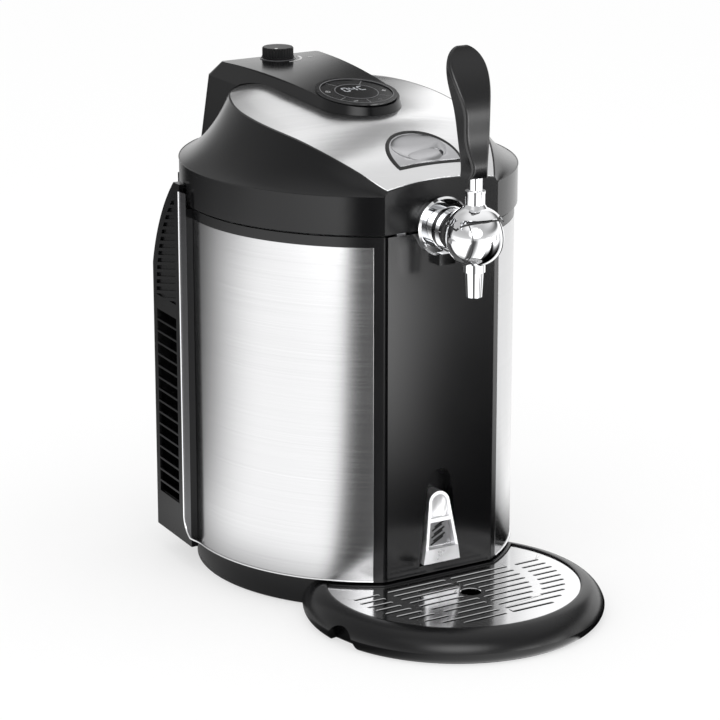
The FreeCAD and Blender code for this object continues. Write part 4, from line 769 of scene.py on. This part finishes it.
button = welded("latch_button")
carved(button,
       flat_ball((0, -110.5 * MM, 375.5 * MM), (27.2 * MM, 22 * MM, 7 * MM), math.radians(18)),
       flat_ball((4 * MM, -113.5 * MM, 368.3 * MM), (17 * MM, 11.5 * MM, 2.2 * MM), math.radians(20)))
done("latch_button_scooped", button, finishes["button_silver"], "latch_press", 30)
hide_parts("latch_button")

# %% [markdown]
# ## Rubber seal round the latch button
#
# The gap between the button and the steel plate is closed by a black seal. It follows the
# half moon just outside the button, first the arc and then the straight side, and its height
# is measured on the lid's skin beside it.

# %% Seal round the button
SEAL_RADIUS, SEAL_CHORD, SEAL_BEAD = 30.2 * MM, -124.8 * MM, 1.7 * MM
SEAL_LOOK, SEAL_SINK = 1.6 * MM, 0.1 * MM
ARC_STEPS, CHORD_STEPS = 48, 12
MOON_CENTRE_Y = -116.5 * MM
lid_skins = [frame["nodes"]["top_plate"], frame["nodes"]["lid_shell"]]


def skin_height(x, y):
    """The height of the lid's skin straight below a point high above it."""
    heights = []
    for skin in lid_skins:
        hit, place, _, _ = skin.ray_cast(Vector((x, y, 1)), Vector((0, 0, -1)))
        if hit:
            heights.append(place.z)
    return max(heights)


end_angle = math.asin((SEAL_CHORD - MOON_CENTRE_Y) / SEAL_RADIUS)
outline = []
for i in range(ARC_STEPS + 1):
    angle = end_angle + (math.pi - 2 * end_angle) * i / ARC_STEPS
    outline.append((SEAL_RADIUS * math.cos(angle), MOON_CENTRE_Y + SEAL_RADIUS * math.sin(angle),
                    math.cos(angle), math.sin(angle)))
chord_end = SEAL_RADIUS * math.cos(end_angle)
for i in range(1, CHORD_STEPS):
    outline.append((-chord_end + 2 * chord_end * i / CHORD_STEPS, SEAL_CHORD, 0, -1))
seal_line = [Vector((x, y, skin_height(x + out_x * SEAL_LOOK, y + out_y * SEAL_LOOK) - SEAL_SINK))
             for x, y, out_x, out_y in outline]
bead("button_seal", seal_line, SEAL_BEAD, finishes["rubber_black"], "lid", closed=True)

# %% [markdown]
# ## Drip plate with broken edges
#
# The slots of the drip plate are punched, and the press leaves a small sloping edge that
# shows as a bright line beside every slot. A welded copy of the plate gets that edge from a
# bevel that keeps to the sharp corners.

# %% Drip plate
plate = welded("drip_plate")
edge = plate.modifiers.new("edge", "BEVEL")
edge.width = 0.4 * MM
edge.segments = 1
edge.limit_method = "ANGLE"
edge.angle_limit = math.radians(50)
bpy.ops.object.modifier_apply(modifier="edge")
done("drip_plate_edged", plate, finishes["polished_plate"], "plate", 30)
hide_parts("drip_plate")

# %% [markdown]
# ## Dish and grip of the bottle opener
#
# The upper window of the opener is a polished dish; a bottle's neck swings through it. The
# lower window shows a ribbed grip that the cap's rim hooks under. The dish is a tapered
# block with a round head and an oval hollow; the grip is a thin plate of the same kind, and
# the slanting ribs stand on it, each a little shorter than the one below. The grip is a much
# darker copy of the opener's steel and the ribs are black: painted shade of the recessed
# lower window.

# %% Opener dish and grip


def upper_side(piece, edge, high):
    """Whether an edge runs from front to back at the top of a block."""
    first, second = edge_ends(piece, edge)
    return min(first.z, second.z) > high - 0.1 * MM and abs(first.x - second.x) < 0.1 * MM


def tapered_block(low_half, high_half, low, high, front, back, head):
    """An upright block, narrower at its top, with the upper corners rounded."""
    piece = block(0, 2 * low_half, front, back, low, high)
    pick(piece, "FACE", lambda face: face.normal.z > 0.9)
    bpy.ops.transform.resize(value=(high_half / low_half, 1, 1),
                             center_override=(0, (front + back) / 2, high))
    pick(piece, "EDGE", lambda edge: upper_side(piece, edge, high))
    bpy.ops.mesh.bevel(offset=head, segments=12, affect="EDGES")
    bpy.ops.object.mode_set(mode="OBJECT")
    return piece


dish = tapered_block(9.1 * MM, 7.3 * MM, 73.2 * MM, 92.2 * MM, -140.2 * MM, -136.4 * MM, 7 * MM)
carved(dish, flat_ball((0, -141.2 * MM, 82 * MM), (8.2 * MM, 4.2 * MM, 12.5 * MM)))
done("opener_dish", dish, opener_steel, "housing", 30)
grip = tapered_block(12.8 * MM, 9.6 * MM, 48.6 * MM, 69.6 * MM, -138.6 * MM, -137.6 * MM, 1 * MM)
# painted shade: the grip's steel is far darker than the opener's, standing in for the shade of the
# recessed window
painted_shade_grip = polished("opener_grip_painted_shade", (0.24, 0.24, 0.245), 0.45)
done("opener_grip", grip, painted_shade_grip, "housing", 30)
RIB_COUNT, RIB_FIRST, RIB_PITCH, RIB_Y = 6, 52.5 * MM, 2.8 * MM, -138.8 * MM
RIB_LONG, RIB_SHORTER, RIB_RADIUS = 13 * MM, 0.7 * MM, 0.7 * MM
RIB_SLANT = math.radians(64)
ribs = []
for index in range(RIB_COUNT):
    alone()
    aside = MM if index % 2 else -MM
    bpy.ops.mesh.primitive_cylinder_add(vertices=16, radius=RIB_RADIUS,
                                        depth=RIB_LONG - index * RIB_SHORTER,
                                        location=(aside, RIB_Y, RIB_FIRST + index * RIB_PITCH),
                                        rotation=(0, RIB_SLANT, 0))
    ribs.append(bpy.context.object)
# painted shade: the ribs are black to draw the dark shaded lines across the grip
done("opener_ribs", joined(*ribs), finishes["black_satin"], "housing", 30)

# %% [markdown]
# ## Cheeks of the tap ball
#
# The ball of the tap is closed on both sides by a round cheek. The seam round each cheek is
# a fine dark groove; here it is a thin dark ring, half sunk in the ball.

# %% Cheek seams
BALL_RADIUS = 23 * MM
BALL_CENTRE = Vector((0, -187 * MM, 316.5 * MM))
CHEEK, CHEEK_SEAM = 14.0 * MM, 0.42 * MM
seam_radius = math.sqrt(BALL_RADIUS ** 2 - CHEEK ** 2)
for side, side_name in SIDES:
    alone()
    bpy.ops.mesh.primitive_torus_add(major_segments=96, minor_segments=8, major_radius=seam_radius,
                                     minor_radius=CHEEK_SEAM, rotation=(0, math.pi / 2, 0),
                                     location=BALL_CENTRE + Vector((side * CHEEK, 0, 0)))
    done("cheek_seam_" + side_name, bpy.context.object, finishes["rubber_black"], "housing",
         60)

# %% [markdown]
# ## Scalloped cap of the tap ball
#
# The ball wears a cap whose lower edge hangs down in a point on either side, with a high
# arch between the points in front and a low one behind. A fine dark bead draws that edge. It
# rides the lever, since the cap slides over the ball when the handle tilts.

# %% Cap seam
CAP_POINT, FRONT_ARCH, REAR_ARCH = 22, 21, 9
POINT_TURN = 76
CAP_SEAM, SEAM_RISE, CAP_STEPS = 0.75 * MM, 0.05 * MM, 144


def cap_edge(turn):
    """The cap's edge in degrees above the ball's middle, at a turn in degrees from the front."""
    aside = abs((turn + 180) % 360 - 180)
    if aside < POINT_TURN:
        return CAP_POINT + FRONT_ARCH * math.cos(math.pi / 2 * aside / POINT_TURN) ** 0.45
    return CAP_POINT + REAR_ARCH * math.sin(math.pi / 2 * (aside - POINT_TURN) / (180 - POINT_TURN)) ** 0.6


cap_line = []
for step in range(CAP_STEPS):
    degrees = step * 360 / CAP_STEPS
    turn, rise = math.radians(degrees), math.radians(cap_edge(degrees))
    outward = Vector((math.sin(turn) * math.cos(rise), -math.cos(turn) * math.cos(rise), math.sin(rise)))
    cap_line.append(BALL_CENTRE + outward * (BALL_RADIUS + SEAM_RISE))
bead("cap_seam", cap_line, CAP_SEAM, finishes["rubber_black"], "tap_lever", closed=True)

# %% [markdown]
# ## The studio
#
# A pale floor runs out under a white surround. Three soft lamps light the diffuse surfaces
# at a plain level. Metal and gloss show what stands round them, so a reflection dome, which
# only mirror-like rays can see, stands for the soft boxes and dark flags of the studio. What
# the camera sees of the floor is part paint and part plain white, which softens the shadow.

# %% Floor
FLOOR_WHITE = 0.6
alone()
bpy.ops.mesh.primitive_plane_add(size=12, location=(0, 0, 0))
floor = bpy.context.object
floor.name = "studio_floor"
floor_paint, floor_shader = finish("floor_paint", (0.97, 0.97, 0.97), 0.0, 0.9, Specular_IOR_Level=0.0)
floor_tree = floor_paint.node_tree
floor_white = floor_tree.nodes.new("ShaderNodeEmission")
floor_white.inputs["Color"].default_value = (1, 1, 1, 1)
floor_white.inputs["Strength"].default_value = 1.0
floor_mix = floor_tree.nodes.new("ShaderNodeMixShader")
floor_rays = floor_tree.nodes.new("ShaderNodeLightPath")
floor_part = floor_tree.nodes.new("ShaderNodeMapRange")
floor_part.inputs["To Max"].default_value = FLOOR_WHITE
floor_tree.links.new(floor_rays.outputs["Is Camera Ray"], floor_part.inputs["Value"])
floor_tree.links.new(floor_part.outputs["Result"], floor_mix.inputs["Fac"])
floor_tree.links.new(floor_shader.outputs["BSDF"], floor_mix.inputs[1])
floor_tree.links.new(floor_white.outputs["Emission"], floor_mix.inputs[2])
floor_tree.links.new(floor_mix.outputs["Shader"],
                     floor_tree.nodes["Material Output"].inputs["Surface"])
floor.data.materials.append(floor_paint)
print("floor:", floor.name, "painted with", floor_paint.name)

# %% [markdown]
# ## Surround
#
# The surround gives an even white light. The camera and mirror-like rays see it as plain
# white; the object is lit by it at almost the same level.

# %% Surround
world = bpy.data.worlds.new("surround")
bpy.context.scene.world = world
world.use_nodes = True
tree = world.node_tree
background = tree.nodes["Background"]
background.inputs["Color"].default_value = (1, 1, 1, 1)
background.inputs["Strength"].default_value = 0.98
white = tree.nodes.new("ShaderNodeBackground")
white.inputs["Color"].default_value = (1, 1, 1, 1)
white.inputs["Strength"].default_value = 1.0
rays = tree.nodes.new("ShaderNodeLightPath")
mirror_or_glass = tree.nodes.new("ShaderNodeMath")
mirror_or_glass.operation = "MAXIMUM"
seen = tree.nodes.new("ShaderNodeMath")
seen.operation = "MAXIMUM"
mix = tree.nodes.new("ShaderNodeMixShader")
tree.links.new(rays.outputs["Is Glossy Ray"], mirror_or_glass.inputs[0])
tree.links.new(rays.outputs["Is Transmission Ray"], mirror_or_glass.inputs[1])
tree.links.new(rays.outputs["Is Camera Ray"], seen.inputs[0])
tree.links.new(mirror_or_glass.outputs[0], seen.inputs[1])
tree.links.new(seen.outputs[0], mix.inputs["Fac"])
tree.links.new(background.outputs[0], mix.inputs[1])
tree.links.new(white.outputs[0], mix.inputs[2])
tree.links.new(mix.outputs[0], tree.nodes["World Output"].inputs["Surface"])
print("surround:", world.name)

# %% [markdown]
# ## Lamps
#
# Three soft lamps add a little shape to the even light. Reflections don't show them, because
# the dome stands for them there.

# %% Lamps
MIDDLE = (0, -0.05, 0.22)


def lamp(name, place, size, watts):
    """A soft square lamp that looks at the object; the dome stands for it in reflections."""
    alone()
    bpy.ops.object.light_add(type="AREA", location=place)
    light = bpy.context.object
    light.name = name
    light.data.size = size
    light.data.energy = watts
    light.rotation_euler = (Vector(MIDDLE) - Vector(place)).to_track_quat("-Z", "Y").to_euler()
    light.visible_glossy = False
    print(name, "at", place, "with", watts, "W")


lamp("left_box", (-1.9, -0.9, 1.5), 1.5, 5)
lamp("right_box", (1.9, -0.7, 1.4), 1.3, 3)
lamp("top_box", (0.1, -0.4, 2.3), 1.6, 4)

# %% [markdown]
# ## Reflection dome
#
# The dome is a sheet that lies round the object on the floor, rises to a wall and closes
# overhead. How bright it is at each corner of its mesh is worked out from a few tables of
# pairs, read straight between them, and written to an attribute. A turn counts in degrees
# from the left of the object (0) over its front (90) to its right (180), a lift in degrees
# above the floor.
#
# Low down, LOW_BOX gives a bright box on the left, the dark behind the camera and another
# bright box in front. In front on the right lies a sheet that the front panel mirrors, so its
# two tables go by the millimetres across and up the panel at which the camera sees it. A
# look from the camera sinks by CAMERA_SLOPE and shifts by CAMERA_SIDE for each metre toward
# the back. The floor is dimmed near the object, and on the left its outer ring is changed
# once more by RING_FADE.
#
# Higher up there is one table of lifts for the front and one for the rear, mixed by
# FRONTNESS. The part of the rear that the lid's steel plate mirrors has two tables of turns
# instead, and two soft patches are added, each with its turn, lift, width, height and
# strength.

# %% Levels of the dome
LOW_BOX = ((-122, 0.5), (-98, 0.55), (-90, 0.25), (-83, 0.04), (-78, 0.03), (-71, 0.07), (-60, 0.15),
           (-51, 0.27), (-43, 0.42), (-36, 0.56), (-29, 0.70), (-22, 0.82), (-14, 0.92), (-6, 0.96),
           (14, 0.97), (38, 1.0), (42, 0.8), (46, 0.2), (51, 0.05), (60, 0.06), (66, 0.25), (74, 0.75),
           (84, 1.0), (114, 1.0), (150, 0.05), (170, 0.6), (180, 0.75), (238, 0.5))
SIDE_FADE = ((-100, 1.3), (-50, 1.2), (-32, 0.98), (-14, 0.6), (2, 0.24), (14, 0.05), (30, 0.0), (60, 0.0),
             (130, 0.03), (230, 0.7), (400, 1.0))
REACH_FADE = ((40, 0.0), (89, 0.08), (175, 0.75), (260, 1.2), (350, 1.35), (380, 0.9), (398, 0.2),
              (465, 0.2), (500, 2.6), (700, 2.8))
SKY_FRONT = ((8, 0.9), (16, 0.6), (30, 0.5), (58, 0.5), (72, 0.8), (90, 0.95))
SKY_REAR = ((4, 0.9), (17, 1.4), (20.5, 1.2), (25, 0.1), (33, 0.12), (41, 0.75), (52, 0.95), (70, 0.95),
            (90, 0.95))
FRONTNESS = ((-122, 0.2), (-80, 1.0), (100, 1.0), (150, 0.3), (180, 0.0), (238, 0.0))
REAR_LOW = ((205, 0.9), (218, 1.2), (230, 1.4), (231.2, 1.3), (232, 0.5), (233.5, 0.1), (237, 0.02),
            (238, 0.25), (239, 1.0), (241, 1.1), (244, 0.9))
REAR_HIGH = ((205, 1.0), (216, 1.2), (219, 1.3), (221, 1.1), (223, 0.55), (225, 0.28), (229, 0.3),
             (231, 0.5), (234, 0.85), (238, 1.1), (244, 1.25))
REAR_BLEND = ((38, 0.0), (43, 1.0))
RING_FADE = ((-60, 0.5), (-31, 0.4), (-9, 0.8), (12, 1.1), (37, 1.6), (44, 2.4), (50, 1.0), (60, 1.0))
NEAR_FADE = ((0.16, 0.25), (0.27, 1.0))
SKY_BLEND = ((5, 0.0), (14, 1.0))
SOFT_PATCHES = ((30, 50, 30, 15, 0.5), (62, 33, 30, 18, 4.5))
BOX_LEVEL, SKY_LEVEL = 1.85, 0.6
CAMERA_SLOPE, CAMERA_SIDE = 0.342, 0.6285
FIRST_TURN, REAR_FROM = -115, 205
SHEET_FROM, SHEET_TO = 100, 160
RING_TURN, RING_REACH, RING_LIFT = 60, 1.4, 0.01


def along(table, value):
    """A value read from a table of pairs, straight between them."""
    if value <= table[0][0]:
        return table[0][1]
    for (low, first), (high, last) in zip(table, table[1:]):
        if value <= high:
            return first + (last - first) * (value - low) / (high - low)
    return table[-1][1]


def sheet_level(x, y):
    """The bright sheet's level at a place of the floor, by where the front panel mirrors it."""
    across = (x + (y + FRONT_REACH) * CAMERA_SIDE) / MM
    up = CAMERA_SLOPE * (-FRONT_REACH - y) / MM
    return along(SIDE_FADE, across) * along(REACH_FADE, up)


def low_level(x, y, z, turn, reach):
    """The level of the floor and of the wall's foot."""
    level = sheet_level(x, y) if SHEET_FROM < turn < SHEET_TO else along(LOW_BOX, turn)
    level *= along(NEAR_FADE, math.hypot(reach, z))
    if turn < RING_TURN and reach > RING_REACH and z < RING_LIFT:
        level *= along(RING_FADE, turn)
    return level


def high_level(turn, lift):
    """The level of the wall and of the sky."""
    front = along(FRONTNESS, turn)
    rear = along(SKY_REAR, lift)
    if turn > REAR_FROM:
        upper = along(REAR_BLEND, lift)
        rear = (1 - upper) * along(REAR_LOW, turn) + upper * along(REAR_HIGH, turn)
    level = front * along(SKY_FRONT, lift) + (1 - front) * rear
    for patch_turn, patch_lift, wide, tall, strength in SOFT_PATCHES:
        off = ((turn - patch_turn) / wide) ** 2 + ((lift - patch_lift) / tall) ** 2
        level += strength * max(0.0, 1 - off)
    return level


def brightness(x, y, z):
    """How bright the dome is at a place."""
    turn = math.degrees(math.atan2(-y, -x))
    if turn < FIRST_TURN:
        turn += 360
    reach = math.hypot(x, y)
    lift = math.degrees(math.atan2(z, reach))
    share = along(SKY_BLEND, lift)
    low, high = low_level(x, y, z, turn, reach), high_level(turn, lift)
    return BOX_LEVEL * (low * (1 - share) + SKY_LEVEL * high * share)


print("level in front, low down:", round(brightness(0, -2.5, 0), 3))
print("level overhead:", round(brightness(0, 0, 2.9), 3))

# %% [markdown]
# ## The dome's mesh
#
# The dome is a flat grid bent round: its columns are turns, its rows run along a profile from
# the floor beside the object out to the wall and up to the middle of the roof. The rows are
# close where the light changes fast.

# %% Reflection dome
DOME_COLUMNS, DOME_REACH, WALL_TOP, ROOF_RISE = 360, 2.5, 0.9, 2.0
SHEET_LIFT = 1 * MM
FLOOR_REACHES = [0.13 * 1.16 ** i for i in range(16)] + [1.38, 1.42, 1.5, 1.62, 1.72, 1.9, 2.18]
WALL = [(2.4, 0.08)] + [(DOME_REACH, rise) for rise in (0.2, 0.4, 0.65, WALL_TOP)]
ROOF_LIFTS = [math.radians(lift) for lift in range(8, 90, 8)]
ROOF = [(DOME_REACH * math.cos(lift), WALL_TOP + ROOF_RISE * math.sin(lift)) for lift in ROOF_LIFTS]
FLOOR_PART = [(reach, SHEET_LIFT) for reach in FLOOR_REACHES]
DOME_PROFILE = FLOOR_PART + WALL + ROOF + [(0.05, WALL_TOP + ROOF_RISE)]
DOME_ROWS = len(DOME_PROFILE) - 1
alone()
bpy.ops.mesh.primitive_grid_add(x_subdivisions=DOME_COLUMNS, y_subdivisions=DOME_ROWS, size=1)
dome = bpy.context.object
dome.name = "reflection_dome"
levels = dome.data.attributes.new("level", "FLOAT", "POINT")
for vertex, level in zip(dome.data.vertices, levels.data):
    angle = math.radians(-180 + (vertex.co.x + 0.5) * 360)
    reach, rise = DOME_PROFILE[round((vertex.co.y + 0.5) * DOME_ROWS)]
    vertex.co = (-math.cos(angle) * reach, -math.sin(angle) * reach, rise)
    level.value = brightness(*vertex.co)
dome_light = bpy.data.materials.new("dome_light")
dome_light.use_nodes = True
dome_nodes, dome_links = dome_light.node_tree.nodes, dome_light.node_tree.links
dome_nodes.remove(dome_nodes["Principled BSDF"])
glowing = dome_nodes.new("ShaderNodeEmission")
reading = dome_nodes.new("ShaderNodeAttribute")
reading.attribute_name = "level"
dome_links.new(reading.outputs["Fac"], glowing.inputs["Strength"])
dome_links.new(glowing.outputs["Emission"], dome_nodes["Material Output"].inputs["Surface"])
dome.data.materials.append(dome_light)
dome.visible_camera = False
dome.visible_diffuse = False
dome.visible_shadow = False
dome.visible_transmission = False
print("dome with", len(dome.data.vertices), "levels")

# %% [markdown]
# ## Camera
#
# The camera stands to the left of the front, a little above, with a long lens.

# %% Camera
alone()
bpy.ops.object.camera_add(location=(-1.2519, -2.0112, 0.8562),
                          rotation=(math.radians(90 - 16.12), 0, math.radians(-32.15)))
camera = bpy.context.object
camera.name = "studio_camera"
camera.data.lens = 146.3
camera.data.sensor_width = 36
camera.data.clip_start = 0.05
bpy.context.scene.camera = camera
bpy.context.scene.view_settings.view_transform = "Standard"
print("camera:", camera.name, "with a lens of", round(camera.data.lens, 1), "mm")
